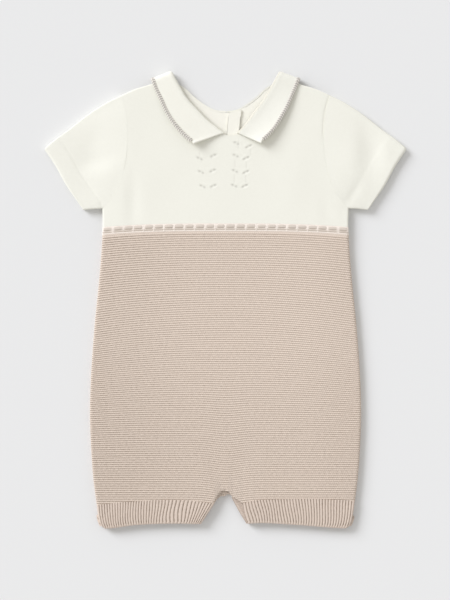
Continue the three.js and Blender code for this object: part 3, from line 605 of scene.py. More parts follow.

# %% [markdown]
# ## Materials
# Both yarns are matt cotton. A little sheen stands for the fibre ends that catch the light at
# the rolled edges. The stitch size is set per piece: fine jersey for the yoke and sleeves, a
# firmer knit for the collar, garter stitch for the shorts, and a soft chain for the edging.
# The cream is set a little apart for yoke, sleeves, each collar half and the inside of the back:
# these are lighter copies of the one cream, painted light that gives each piece its own
# brightness under this one light, with the left collar half the lightest.

# %% Materials
CREAM = (0.865, 0.855, 0.775, 1.0)
# painted light: lighter copies of the cream for the sleeves, each collar half and the inside of the back
SLEEVE_CREAM_PAINTED_LIGHT = (0.88, 0.87, 0.79, 1.0)
COLLAR_CREAM_PAINTED_LIGHT = {"left": (0.935, 0.92, 0.835, 1.0), "right": (0.885, 0.875, 0.80, 1.0)}
INSIDE_CREAM_PAINTED_LIGHT = (0.90, 0.88, 0.80, 1.0)
CREAM_SHADE = (0.66, 0.63, 0.53, 1.0)
BEIGE = (0.82, 0.70, 0.605, 1.0)
BEIGE_SHADE = (0.40, 0.325, 0.265, 1.0)
RIB_BEIGE = (0.765, 0.645, 0.56, 1.0)
WARM_CREAM = (0.97, 0.875, 0.80, 1.0)
DASH_BEIGE = (0.52, 0.44, 0.37, 1.0)
EDGING_PAINTED_SHADE = (0.27, 0.245, 0.22, 1.0)
EDGING_SHADE = (0.25, 0.225, 0.20, 1.0)
EDGING_PAINTED_LIGHT = (0.95, 0.91, 0.84, 1.0)


def group_node(tree, group, **values):
    node = tree.nodes.new("ShaderNodeGroup")
    node.node_tree = group
    for label, value in values.items():
        socket = node.inputs[label.replace("_", " ")]
        if isinstance(value, (int, float, tuple)):
            socket.default_value = value
        else:
            tree.links.new(value, socket)
    return node


def knit_material(name, colour, shade, stitch, depth=0.3, height=0.25, uneven=0.05, mark=None,
                  mark_colour=None, stretch=None, gaps=0.5):
    """Matt yarn in the given stitch; mark names a point attribute that turns to mark_colour."""
    material = bpy.data.materials.new(name)
    material.use_nodes = True
    tree = material.node_tree
    shader = tree.nodes["Principled BSDF"]
    shader.inputs["Roughness"].default_value = 0.92
    shader.inputs["Specular IOR Level"].default_value = 0.12
    shader.inputs["Sheen Weight"].default_value = 0.02
    shader.inputs["Sheen Roughness"].default_value = 0.6
    flat_map = tree.nodes.new("ShaderNodeUVMap")
    flat_map.uv_map = "stitches"
    group, sizes = stitch
    stitches = group_node(tree, group, Map=flat_map.outputs[0], **sizes)
    body = colour
    if mark:
        attribute = tree.nodes.new("ShaderNodeAttribute")
        attribute.attribute_name = mark
        share = attribute.outputs["Fac"]
        if stretch:
            share = group_node(tree, broken, Map=flat_map.outputs[0], Share=share, Stretch=stretch,
                               Gaps=gaps).outputs[0]
        body = mix_colour(tree, share, colour, mark_colour)
    coloured = group_node(tree, yarn, Colour=body, Shade=shade, Depth=depth, Unevenness=uneven,
                          Hollow=stitches.outputs["Hollow"])
    tree.links.new(coloured.outputs[0], shader.inputs["Base Color"])
    felt = group_node(tree, fibres, Stitches=stitches.outputs["Height"], Fuzz=0.25)
    relief = tree.nodes.new("ShaderNodeBump")
    relief.inputs["Distance"].default_value = height * MM
    relief.inputs["Strength"].default_value = 1.0
    tree.links.new(felt.outputs[0], relief.inputs["Height"])
    tree.links.new(relief.outputs[0], shader.inputs["Normal"])
    return material


FINE = (stocking, {"Stitch_width": 1.3, "Row_height": 0.95})
FIRM = (stocking, {"Stitch_width": 1.1, "Row_height": 0.85})
GARTER = (purl, {"Loop_width": 1.9, "Ridge_pitch": 2.08})
RIB = (stocking, {"Stitch_width": RIB_STITCH, "Row_height": 1.1})
CHAIN = (stocking, {"Stitch_width": 0.8, "Row_height": 0.6})

cream_knit = knit_material("cream fine knit", CREAM, CREAM_SHADE, FINE, depth=0.04, height=0.08,
                           uneven=0.05)
sleeve_knit = knit_material("cream sleeve knit", SLEEVE_CREAM_PAINTED_LIGHT, CREAM_SHADE, FINE, depth=0.04,
                            height=0.08, uneven=0.05)
yoke_knit = knit_material("cream pointelle knit", CREAM, CREAM_SHADE, FINE, depth=0.04,
                          height=0.08, uneven=0.05, mark="eyelet_shade",
                          mark_colour=(0.40, 0.39, 0.35, 1.0))
collar_knits = {side: knit_material(f"cream collar knit {side}", colour, CREAM_SHADE, FIRM,
                                    depth=0.08, height=0.12, uneven=0.04, mark="fold",
                                    mark_colour=CREAM_SHADE)
                for side, colour in COLLAR_CREAM_PAINTED_LIGHT.items()}
inside_knit = knit_material("cream knit inside the neck", INSIDE_CREAM_PAINTED_LIGHT, CREAM_SHADE, FINE, depth=0.04,
                            height=0.08, uneven=0.05)
garter_knit = knit_material("beige garter knit", BEIGE, BEIGE_SHADE, GARTER, depth=0.16,
                            height=0.3, uneven=0.05, mark="painted_shade", mark_colour=BEIGE_SHADE,
                            stretch=(0.42, 1.0, 1.0), gaps=0.5)
rib_knit = knit_material("beige rib knit", RIB_BEIGE, BEIGE_SHADE, RIB, depth=0.12, height=0.25,
                         uneven=0.05, mark="painted_shade", mark_colour=BEIGE_SHADE,
                         stretch=(1.0, 0.4, 1.0), gaps=0.4)
plain_beige = knit_material("beige plain knit", BEIGE, BEIGE_SHADE, GARTER, depth=0.16,
                            height=0.3, uneven=0.12)
waist_knit = knit_material("slipped stitch row", WARM_CREAM, CREAM_SHADE, FINE, depth=0.10,
                           height=0.15, mark="dash_and_shade", mark_colour=DASH_BEIGE)
edging_yarn = knit_material("grey beige edging", EDGING_PAINTED_SHADE, EDGING_SHADE, CHAIN, depth=0.12,
                            height=0.1, uneven=0.10, mark="stitch",
                            mark_colour=EDGING_PAINTED_LIGHT)

floor_material = bpy.data.materials.new("pale surface")
floor_material.use_nodes = True
floor_shader = floor_material.node_tree.nodes["Principled BSDF"]
floor_shader.inputs["Base Color"].default_value = SURFACE_COLOUR
floor_shader.inputs["Roughness"].default_value = 0.95
floor_shader.inputs["Specular IOR Level"].default_value = 0.1
floor.data.materials.append(floor_material)


def dress(piece, material):
    piece.data.materials.append(material)


# %% [markdown]
# ## Shorts body
# The front is one garter-stitch panel from the waist row to the rib hems, with the crotch cut
# into its lower edge. Garter stitch stands in firm horizontal ridges, one for every two rows,
# and these are real relief here, because they catch the light and shade one another. The
# hollows between the ridges are painted darker as well, as painted shade, and the whole panel
# is painted darker towards the bottom and the left. The ridges start below a plain edge at the
# waist, droop at the sides and sag at the crotch.

# %% Body panels
RIDGE_PITCH = 2.08
RIDGE_HEIGHT = 0.48
PLAIN_TOP = (0.9, 3.0)
POINTS_PER_RIDGE = 5
NOTCH_STEP = 0.7
NOTCH_SHARE = 0.84
NOTCH_LOWER = 4.6

lower = {"left": over(LEFT_RIB_SEAM), "crotch": over(CROTCH), "right": over(RIGHT_RIB_SEAM)}


def waist_line(s):
    return WAIST_Y - WAIST_DROOP * np.abs(s) ** 3


def lower_y(x):
    return np.where(x <= CROTCH[0][0], lower["left"](x),
                    np.where(x >= RIGHT_RIB_SEAM[0][0], lower["right"](x), lower["crotch"](x)))


def body_panel(side, column_step, rows):
    half = float(half_width(LEFT_RIB_SEAM[0][1]))
    in_left, in_right = CROTCH[0][0] / half, RIGHT_RIB_SEAM[0][0] / half
    left_count = int((1 + in_left) * half / column_step)
    right_count = int((1 - in_right) * half / column_step)
    notch_step = min(NOTCH_STEP, column_step / 3)
    middle = np.linspace(in_left, in_right, int((in_right - in_left) * half / notch_step) + 2)
    s = np.concatenate([-1 + steps(left_count, (1 + in_left) * half, True, True) * (1 + in_left),
                        middle[1:-1],
                        in_right + steps(right_count, (1 - in_right) * half, False, True)
                        * (1 - in_right)])
    v = np.linspace(0, 1, rows + 1)
    top = waist_line(s) - WAIST_BELOW - SEAM_SHOWN / 2
    bottom = lower_y(s * half) + SEAM_SHOWN / 2
    if side < 0:
        bottom = bottom - NOTCH_LOWER * np.exp(-((s * half + 1) / 5) ** 2)
    straight = np.minimum(bottom, CROTCH[0][1])
    y = top + (straight - top) * v[:, None]
    y = y + (bottom - straight) * smoothstep(NOTCH_SHARE, 1, v)[:, None]
    return drape(np.stack([s * half_width(y), y], -1), side), s, v


SIDE_DROOP = 5.0
CROTCH_SAG = 3.0
ridge_count = int(round((WAIST_Y - LEFT_RIB_SEAM[0][1]) / RIDGE_PITCH))
base, s, v = body_panel(1, 3.6, ridge_count * POINTS_PER_RIDGE)
x, y = base[..., 0], base[..., 1]
droop = WAIST_DROOP * np.abs(s) ** 3 * (1 - smoothstep(-40, -190, y)) \
    + SIDE_DROOP * np.abs(s) ** 1.8 * np.exp(-((y + 30) / 62) ** 2) \
    + CROTCH_SAG * np.exp(-((x - 1) / 17) ** 2) * smoothstep(-20, -185, y)
ridge_phase = (WAIST_Y - WAIST_BELOW - droop - y) / RIDGE_PITCH + 0.5 + 0.08 * wander(x, y, 90.0)
wave = 0.5 - 0.5 * np.cos(2 * np.pi * ridge_phase)
below_waist = waist_line(s) - WAIST_BELOW - y
wave = 1 + (wave - 1) * smoothstep(*PLAIN_TOP, below_waist)
loose = 1 + 0.08 * wander(x, y, 24.0)
ridges = RIDGE_HEIGHT * (wave - 0.6) * loose
normal = facing(base, 1)
outer = base + normal * ridges[..., None]
inner = hold_to_side(base - normal * BODY_WALL, 1)
flat_map = np.stack([base[..., 0], ridge_phase * RIDGE_PITCH], -1)
# painted shade: the hollows between the ridges are darkened in colour, most at the sides and the left, and
# the panel is darkened towards the bottom and the left
valley_shade_strength = 0.56 + 0.22 * s ** 2 - 0.09 * s - 0.02 * smoothstep(-20, -160, y)
broad_painted_shade = 0.11 * smoothstep(-20, -160, y) + 0.07 * smoothstep(0.2, 1, -s) + 0.02 * np.cos(x / 40)
painted_shade = broad_painted_shade + (1 - wave) ** 1.4 * valley_shade_strength
body_front = skin("garter_front", outer, inner, flat_map, {"painted_shade": painted_shade}, thin=10)
dress(body_front, garter_knit)
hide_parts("body_front")
print("garter front:", ridge_count, "ridges,", triangles(body_front), "triangles")

# %% [markdown]
# The back is the same panel, turned over. It rests on the surface, so it stays plain and flat,
# with its ridges only in the material.

# %% Body back
base, s, v = body_panel(-1, 6.0, 60)
inner = hold_to_side(base - facing(base, -1) * BODY_WALL, -1)
flat_map = np.stack([base[..., 0], np.broadcast_to(v[:, None] * ridge_count * RIDGE_PITCH,
                                                   base.shape[:2])], -1)
body_back = skin("garter_back", base, inner, flat_map)
dress(body_back, plain_beige)
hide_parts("body_back")
print("garter back:", triangles(body_back), "triangles")

# %% [markdown]
# ## Rib hems
# Each leg ends in a band of one-by-one rib: columns of plain stitches stand up between
# columns that sink away. Ribs are relief, rounded on top with narrow grooves that are also
# painted dark as shade, and they fan out with the slanting sides. Their lower edge is scalloped
# a little, rib by rib.

# %% Rib hems
RIBS = {"left": 39, "right": 38}
RIB_HEIGHT = 0.95
RIB_DEPTH = 23
POINTS_PER_RIB = 8


def rib_lean(outer_side, s):
    """How far a rib's foot lies from where even ribs would put it."""
    return 4.3 * np.sin(np.pi * s ** 2.2) if outer_side < 0 else 2.8 * np.sin(np.pi * s ** 0.75)


def rib_grid(seam_rows, hem_rows, outer_side, s, v):
    seam_height, hem_height = over(seam_rows), over(hem_rows)

    def by_x(rows, height):
        first, last = rows[0][0], rows[-1][0]
        return lambda q: np.stack([first + (last - first) * q, height(first + (last - first) * q)], -1)
    seam, hem = by_x(seam_rows, seam_height), by_x(hem_rows, hem_height)

    def edge(which, on_outside):
        top, bottom = seam(np.array([which]))[0], hem(np.array([which]))[0]

        def sample(q):
            y = bottom[1] + (top[1] - bottom[1]) * q
            x = outer_side * half_width(y) if on_outside else bottom[0] + (top[0] - bottom[0]) * q
            return np.stack([x, y], -1)
        return sample

    def foot(q):
        x = hem(q)[:, 0] + rib_lean(outer_side, q)
        return np.stack([x, hem_height(x)], -1)
    return patch(edge(0.0, outer_side < 0), edge(1.0, outer_side > 0), foot, seam, s, v)


for leg, seam_rows, hem_rows, outer_side in (("left", LEFT_RIB_SEAM, LEFT_HEM, -1),
                                             ("right", RIGHT_RIB_SEAM, RIGHT_HEM, 1)):
    ribs = RIBS[leg]
    s = np.linspace(0, 1, ribs * POINTS_PER_RIB + 1)
    v = np.concatenate([np.linspace(0.998, 0.06, 30), [0.04, 0.024, 0.012, 0.004, 0.0]])
    flat = rib_grid(seam_rows, hem_rows, outer_side, s, v)
    base = drape(flat, 1)
    crowd = 1.17 - (0.40 if leg == "left" else 0.0) * np.exp(-((s - 0.72) / 0.2) ** 2)
    across = ribs * (np.cumsum(crowd) - crowd[0]) / (crowd.sum() - crowd[0])
    depth_share = (1 - v)[:, None]
    slack = 0.10 + 0.16 * np.exp(-((s - (0.65 if leg == "left" else 0.2)) / 0.22) ** 2)
    waver = slack * np.sin(4.2 * depth_share + 0.45 * across) * depth_share ** 0.6
    rib_phase = across + waver
    crest = np.abs(np.sin(np.pi * rib_phase)) ** 0.7
    stitch_wave = 0.04 * np.sin(2 * np.pi * v[:, None] * 22)
    near_hem = np.clip(v[:, None] / 0.05, 0, 1)
    rise = RIB_HEIGHT * (crest - 0.25) * (0.45 + 0.55 * near_hem) + stitch_wave
    rolled = -1.1 * (1 - np.sqrt(np.clip(1 - (1 - near_hem) ** 2, 0, 1)))
    outer = base.copy()
    outer += facing(base, 1) * rise[..., None]
    outer[..., 2] += rolled
    outer[..., 1] -= 0.30 * (crest - 0.5) * (1 - near_hem)
    inner = hold_to_side(base - facing(base, 1) * RIB_WALL, 1)
    span = abs(seam_rows[-1][0] - seam_rows[0][0])
    flat_map = np.stack(np.broadcast_arrays(rib_phase * RIB_STITCH, v[:, None] * RIB_DEPTH), -1)
    # painted shade in the rib grooves, deepest a little above the hem
    shade_above_hem = 1 + 0.35 * np.exp(-((v - 0.13) / 0.05) ** 2)
    groove = 1.15 * (1 - crest) ** 1.2 * (smoothstep(0.03, 0.09, v) * shade_above_hem)[:, None]
    piece = skin(f"rib_{leg}_front_knit", outer, inner, flat_map, {"painted_shade": np.clip(groove, 0, 1)})
    dress(piece, rib_knit)
    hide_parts(f"rib_{leg}_front")
    s_back = steps(14, span, True, True)
    base = drape(rib_grid(seam_rows, hem_rows, outer_side, s_back, np.linspace(0.986, 0, 9)), -1)
    inner = hold_to_side(base - facing(base, -1) * RIB_WALL, -1)
    back_map = np.stack(np.broadcast_arrays(s_back[None] * ribs * RIB_STITCH,
                                            np.linspace(RIB_DEPTH, 0, 9)[:, None]), -1)
    back = skin(f"rib_{leg}_back_knit", base, inner, back_map)
    dress(back, rib_knit)
    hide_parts(f"rib_{leg}_back")
    print("rib", leg, triangles(piece), "triangles")

# %% [markdown]
# The strip beside the right inner leg belongs to the layer beneath and shows past the front's
# edge there.

# %% Inseam band
low = BODY_WALL + LAYER_GAP + BAND_WALL
rows = spline(INSEAM_BAND, 8)
across = np.linspace(0, 1, 7)[None, :, None]
strip = rows[:, None, :2] * (1 - across) + rows[:, None, 2:] * across
outer = np.concatenate([strip, np.full(strip.shape[:2] + (1,), low)], -1)
inner = outer - np.array([0, 0, BAND_WALL])
length = np.linspace(0, 31, len(rows))[:, None]
flat_map = np.stack(np.broadcast_arrays(length, across[..., 0] * 8), -1)
# painted shade: the band is darkened a little all over and more along three lines down its length
inseam_shade = 0.12 + 0.55 * np.abs(np.cos(2.5 * np.pi * across[..., 0])) ** 3 + 0 * length
inseam = skin("inseam_band_knit", outer, inner, flat_map, {"painted_shade": np.clip(inseam_shade, 0, 1)})
dress(inseam, rib_knit)
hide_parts("inseam_band")
print("inseam band:", triangles(inseam), "triangles")

# %% [markdown]
# ## Waist row
# Where cream changes to beige, beige stitches are slipped in groups over two rows, so they lie
# as 24 short dashes with cream stitches between them. Each dash is a flat pad with a shallow
# dip along its lower side, painted darker there as shade. Below the dashes run a beige lip, a
# thin darker line and a thin cream line.

# %% Waist row
DASHES = 24
DASH_RISE = 0.45
DASH_FROM, DASH_TO = 0.08, 0.60
GREY_LINE = 0.53
LOW_LINE = 0.79
CREAM_LINE = 0.925


def waist_grid(s, down, side):
    top = waist_line(s) + WAIST_ABOVE - SEAM_SHOWN / 2
    y = top - (WAIST_ABOVE + WAIST_BELOW - SEAM_SHOWN) * down[:, None]
    return drape(np.stack([s * half_width(y), y], -1), side)


SIDE_ROLL = 20.0
roll = steps(8, SIDE_ROLL, True, False) * SIDE_ROLL / HALF_WAIST
s = np.linspace(-1, 1, DASHES * 20 + 1)
s = np.unique(np.concatenate([-1 + roll, s[(s > -1 + roll[-1]) & (s < 1 - roll[-1])], 1 - roll]))
down = np.linspace(0, 1, 36)
base = waist_grid(s, down, 1)
place_in_dash = ((s + 1) / 2 * DASHES) % 1 - 0.5
number = np.clip(((s + 1) / 2 * DASHES).astype(int), 0, DASHES - 1)
wide = (0.425 + 0.02 * random.uniform(-1, 1, DASHES))[number]
shift = (0.03 * random.uniform(-1, 1, DASHES))[number]
tall = (1 + 0.08 * random.uniform(-1, 1, DASHES))[number]
from_middle = np.abs(place_in_dash - shift) / wide
middle = (DASH_FROM + DASH_TO) / 2
from_row = np.abs(down[:, None] - middle) / ((DASH_TO - DASH_FROM) / 2 * tall)
reach = np.clip(1 - from_middle ** 4 - from_row ** 4, 0, 1)
pad = np.sqrt(reach)
pads = smoothstep(0.0, 0.3, reach)
# painted shade along each pad's lower side, over a shallow real dip
grey = np.exp(-((down[:, None] - GREY_LINE) / 0.065) ** 2) * smoothstep(0.0, 0.15, reach)
between = np.exp(-((np.abs(place_in_dash) - 0.5) / 0.06) ** 2) * smoothstep(0.0, 0.2, down[:, None])
bends = 0.015 * np.sin(np.pi * number) - 0.03 * between
slipped = np.exp(-((down[:, None] - CREAM_LINE - bends) / 0.07) ** 4)
rise = DASH_RISE * pad - 0.3 * grey + 0.25 * between + 0.25 * slipped
normal = facing(base, 1)
outer = base + normal * rise[..., None]
inner = hold_to_side(base - normal * BAND_WALL, 1)
lip = smoothstep(0.57, 0.62, down[:, None]) * (1 - 0.7 * between) * (1 - pads) \
    * (1 - np.clip(1.2 * slipped, 0, 1))
low = np.exp(-((down[:, None] - LOW_LINE - bends) / 0.055) ** 2) * (1 - 0.6 * between)
beige_and_shade_share = 0.50 * pads + 0.50 * grey + 0.52 * lip + 0.75 * low
flat_map = np.stack(np.broadcast_arrays(s[None] * HALF_WAIST, -down[:, None] * 7.4), -1)
waist_front = skin("slipped_row_front", outer, inner, flat_map,
                   {"dash_and_shade": np.clip(beige_and_shade_share, 0, 1)}, thin=7)
dress(waist_front, waist_knit)
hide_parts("waist_front")
base = waist_grid(2 * steps(24, 233.0, True, True) - 1, np.linspace(0, 1, 6), -1)
inner = hold_to_side(base - facing(base, -1) * BAND_WALL, -1)
waist_back = skin("slipped_row_back", base, inner, base[..., :2])
dress(waist_back, cream_knit)
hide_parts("waist_back")
print("waist row:", triangles(waist_front), "triangles")

# %% [markdown]
# ## Front yoke
# The yoke runs from the waist row to the shoulders, with a shallow neck at the front. Four
# columns of pointelle motifs hang below the collar: each is a pair of small eyelets, slanted
# one way or the other. The eyelets are dents in the relief, with a mark of painted shade in
# them where an open eyelet would be dark.

# %% Front yoke
SIDE_SHARE = 0.1
NECK_SHARE = 0.5

# middle x, middle y in picture pixels, and which way the pair slants
MOTIFS = [(200, 158.7, -1), (201.4, 172.3, -1), (202.9, 186.6, -1),
          (213.6, 155.9, 1), (212.9, 170.9, 1), (213.6, 186.2, 1),
          (236.8, 143.4, -1), (236.1, 155.9, -1), (235.4, 171.2, -1), (234.6, 185.9, -1),
          (248.9, 146.6, 1), (246.4, 158.4, 1), (246.1, 172.3, 1), (245, 186.2, 1)]
# x, upper y and lower y of the run threads between motifs, in picture pixels
LADDERS = [(238.6, 140, 149), (234.3, 175, 183), (235.0, 160, 168), (250.7, 149, 156),
           (246.4, 162, 169), (245.7, 175, 183), (199.6, 152, 156)]
EYELET_RADIUS = 1.25
EYELET_APART = 1.6
EYELET_DEPTH = 0.5


def picture_x(pixel):
    return (pixel - 225.5) * PIXEL


def picture_y(pixel):
    return (300 - pixel) * PIXEL


def neck_rows(leaf):
    """The yoke's neck edge, just outside the collar's stand."""
    rows = []
    for k, row in enumerate(leaf):
        before, after = leaf[max(k - 1, 0)], leaf[min(k + 1, len(leaf) - 1)]
        ax, ay = after[0] - before[0], after[1] - before[1]
        turn = math.copysign(1, ax * (row[3] - row[1]) - ay * (row[2] - row[0]))
        q = STAND_ROOM * turn / math.hypot(ax, ay)
        rows.append((row[0] - ay * q, row[1] + ax * q))
    return rows


def yoke_edge(sign):
    armhole = line(on_side(sign, ARMHOLE)[::-1])
    low = float(waist_line(1.0)) + WAIST_ABOVE + SEAM_SHOWN / 2

    def sample(v):
        y = low + (UNDERARM_Y - low) * np.minimum(v / SIDE_SHARE, 1)
        side = np.stack([sign * half_width(y), y], -1)
        arm = armhole(np.clip((v - SIDE_SHARE) / (1 - SIDE_SHARE), 0, 1))
        arm = arm - np.array([sign * SEAM_SHOWN / 2, 0])
        return np.where((v <= SIDE_SHARE)[:, None], side, arm)
    return sample


def yoke_bottom(from_x, to_x):
    def sample(q):
        x = from_x + (to_x - from_x) * q
        return np.stack([x, waist_line(x / float(half_width(WAIST_Y))) + WAIST_ABOVE + SEAM_SHOWN / 2], -1)
    return sample


def joined(parts, shares):
    ends = np.cumsum(shares)

    def sample(q):
        point = parts[-1](np.clip((q - ends[-1] + shares[-1]) / shares[-1], 0, 1))
        for k in range(len(parts) - 2, -1, -1):
            piece = parts[k](np.clip((q - ends[k] + shares[k]) / shares[k], 0, 1))
            point = np.where((q <= ends[k])[:, None], piece, point)
        return point
    return sample


arm_steps = steps(46, ARMHOLE_LENGTH, True, True)
yoke_v = np.concatenate([np.linspace(0, SIDE_SHARE, 12)[:-1], SIDE_SHARE + (1 - SIDE_SHARE) * arm_steps])
reach = float(half_width(WAIST_Y))
shoulder_share = (1 - NECK_SHARE) / 2
neck = (mirrored([SHOULDER[0]]) + mirrored(neck_rows(LEFT_LEAF))[::-1] + [FRONT_NECK_POINT]
        + neck_rows(RIGHT_LEAF) + [SHOULDER[0]])
top = joined([line(mirrored(SHOULDER)[::-1]), line(neck), line(SHOULDER)],
             [shoulder_share, NECK_SHARE, shoulder_share])
outside = steps(24, 64.0, True, False) * shoulder_share
s = np.concatenate([outside, np.linspace(shoulder_share, 1 - shoulder_share, 141)[1:-1],
                    1 - outside[::-1]])
rise_steps = np.concatenate([yoke_v[yoke_v < 0.14], np.linspace(0.14, 0.985, 190),
                             yoke_v[yoke_v > 0.985]])
flat = patch(yoke_edge(-1), yoke_edge(1), yoke_bottom(-reach, reach), top, s, rise_steps)
base = drape(flat, 1)
x, y = base[..., 0], base[..., 1]
# painted shade: a dark mark in each eyelet and along each run thread
dent, eyelet_shade = np.zeros(x.shape), np.zeros(x.shape)
for px, py, slant in MOTIFS:
    for end in (-1, 1):
        ex = picture_x(px) + end * EYELET_APART
        ey = picture_y(py) + end * slant * EYELET_APART * 0.5
        lean = math.atan2(slant * 0.5, 1)
        lengthwise = ((x - ex) * math.cos(lean) + (y - ey) * math.sin(lean)) / (EYELET_RADIUS * 1.25)
        sideways = ((y - ey) * math.cos(lean) - (x - ex) * math.sin(lean)) / (EYELET_RADIUS * 0.85)
        away = np.hypot(lengthwise, sideways)
        dent += np.exp(-away ** 2)
        strength = 0.50 if end > 0 else 0.40
        eyelet_shade = np.maximum(eyelet_shade, strength * np.exp(-away ** 2.4))
    lip = np.hypot((x - picture_x(px)) / 3.4, (y - picture_y(py)) / 2.4)
    dent -= 0.18 * np.exp(-((lip - 1) / 0.35) ** 2)
for px, top_pixel, low_pixel in LADDERS:
    within = smoothstep(picture_y(low_pixel) - 2, picture_y(low_pixel) + 2, y) \
        * (1 - smoothstep(picture_y(top_pixel) - 2, picture_y(top_pixel) + 2, y))
    rung = np.exp(-((x - picture_x(px)) / 0.55) ** 2) * within
    dent += 0.25 * rung
    eyelet_shade = np.maximum(eyelet_shade, 0.16 * rung)
seam = line(ARMHOLE)(np.linspace(0, 1, 60))
seam_dip = 0.42 * np.exp(-(distance_to(seam, base[..., :2], 8) / 1.4) ** 2)
seam_dip *= smoothstep(146, 160, y)
soft = 0.16 * wander(x, y, 70.0)
fade = smoothstep(0, 6, np.minimum(half_width(y) - np.abs(x), 9))
relief = soft * fade - EYELET_DEPTH * dent - seam_dip
normal = facing(base, 1)
outer = base + normal * relief[..., None]
inner = hold_to_side(base - normal * YOKE_WALL, 1)
yoke_front = skin("yoke_front_knit", outer, inner, base[..., :2].copy(),
                  {"eyelet_shade": np.clip(eyelet_shade, 0, 1)}, thin=4)
dress(yoke_front, yoke_knit)
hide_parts("front_yoke")
print("front yoke:", triangles(yoke_front), "triangles")

# %% [markdown]
# ## Back yoke and its opening
# The back is cream too, in two halves with a buttoned opening between them. It lies on the
# surface. Inside the neck, the upper ends of the halves and the inner band show.

# %% Back yoke
for name, sign in (("left", -1), ("right", 1)):
    inside = PLACKET_WIDTH / 2 + SEAM_SHOWN
    shoulder_rows = on_side(sign, SHOULDER)
    neck = [row for row in on_side(sign, neck_rows(BACK_LEAF)[::-1])
            if sign * (row[0] - placket_centre(row[1])) > inside + 3]
    start_y = BACK_NECK_Y + (1.4 if sign < 0 else 4.6)
    start = (placket_centre(BACK_NECK_Y) + sign * inside, start_y)
    neck_line = line([start] + neck[:-1] + [shoulder_rows[0]])
    top = joined([neck_line, line(shoulder_rows)], [NECK_SHARE, 1 - NECK_SHARE])
    low = WAIST_Y + WAIST_ABOVE + SEAM / 2

    def centre(q, sign=sign, inside=inside, low=low, start_y=start_y):
        y = low + (start_y - low) * q
        return np.stack([placket_centre(y) + sign * inside, y], -1)
    bottom = yoke_bottom(float(placket_centre(low)) + sign * inside, sign * reach)
    s = steps(40, 110.0, False, True)
    v = np.concatenate([np.linspace(0, SIDE_SHARE, 6)[:-1],
                        SIDE_SHARE + (1 - SIDE_SHARE) * steps(40, ARMHOLE_LENGTH, True, True)])
    base = drape(patch(centre, yoke_edge(sign), bottom, top, s, v), -1)
    inner = hold_to_side(base - facing(base, -1) * YOKE_WALL, -1)
    piece = skin(f"yoke_back_{name}_knit", base, inner, base[..., :2].copy())
    dress(piece, inside_knit)
    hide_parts(f"back_yoke_{name}")
    print("back yoke", name, triangles(piece), "triangles")

for name, above in (("outer", BAND_WALL), ("inner", 2 * BAND_WALL + LAYER_GAP)):
    across = np.linspace(-0.5, 0.5, 13)
    upper_end = BACK_NECK_Y + 2.6 + 3.0 * across
    y = PLACKET_FOOT[1] + (upper_end - PLACKET_FOOT[1]) * np.linspace(0, 1, 80)[:, None]
    centre_x = placket_centre(y)
    height = back_height(centre_x, y) + above
    ribbed = 0.16 * np.abs(np.sin(np.pi * (across + 0.5) * 6)) - 0.16
    width = PLACKET_WIDTH - 0.5 + 1.0 * smoothstep(BACK_NECK_Y - 3.2, BACK_NECK_Y - 1.6, y)
    base = np.stack([centre_x + across * width, y, height], -1)
    outer = base.copy()
    outer[..., 2] += ribbed
    piece = skin(f"placket_{name}_knit", outer, base - np.array([0, 0, BAND_WALL]),
                 outer[..., :2].copy())
    dress(piece, inside_knit)
    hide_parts(f"placket_{name}")

# %% [markdown]
# The buttons are small satin discs under the outer band. They stay as the solids have them
# and only get their material.

# %% Buttons
button_material = bpy.data.materials.new("satin button")
button_material.use_nodes = True
tree = button_material.node_tree
shader = tree.nodes["Principled BSDF"]
place = tree.nodes.new("ShaderNodeTexCoord").outputs["Object"]
swirl = noise(tree, place, 220.0, 3.0)
tree.links.new(mix_colour(tree, swirl, (0.84, 0.81, 0.73, 1), (0.74, 0.70, 0.61, 1)),
               shader.inputs["Base Color"])
shader.inputs["Roughness"].default_value = 0.35
shader.inputs["Coat Weight"].default_value = 0.2
buttons = [frame["nodes"][f"button_{k}"] for k in (1, 2, 3)]
for button in buttons:
    button.data.materials.clear()
    button.data.materials.append(button_material)

# %% [markdown]
# ## Sleeves
# A short sleeve is a flat tube from the armhole to the cuff, and its hem is turned in and
# sewn, which leaves a slightly thicker band with a fine groove at its edge. The knit's columns
# run along the sleeve. A soft hollow lies across each sleeve and a low swell beside it.

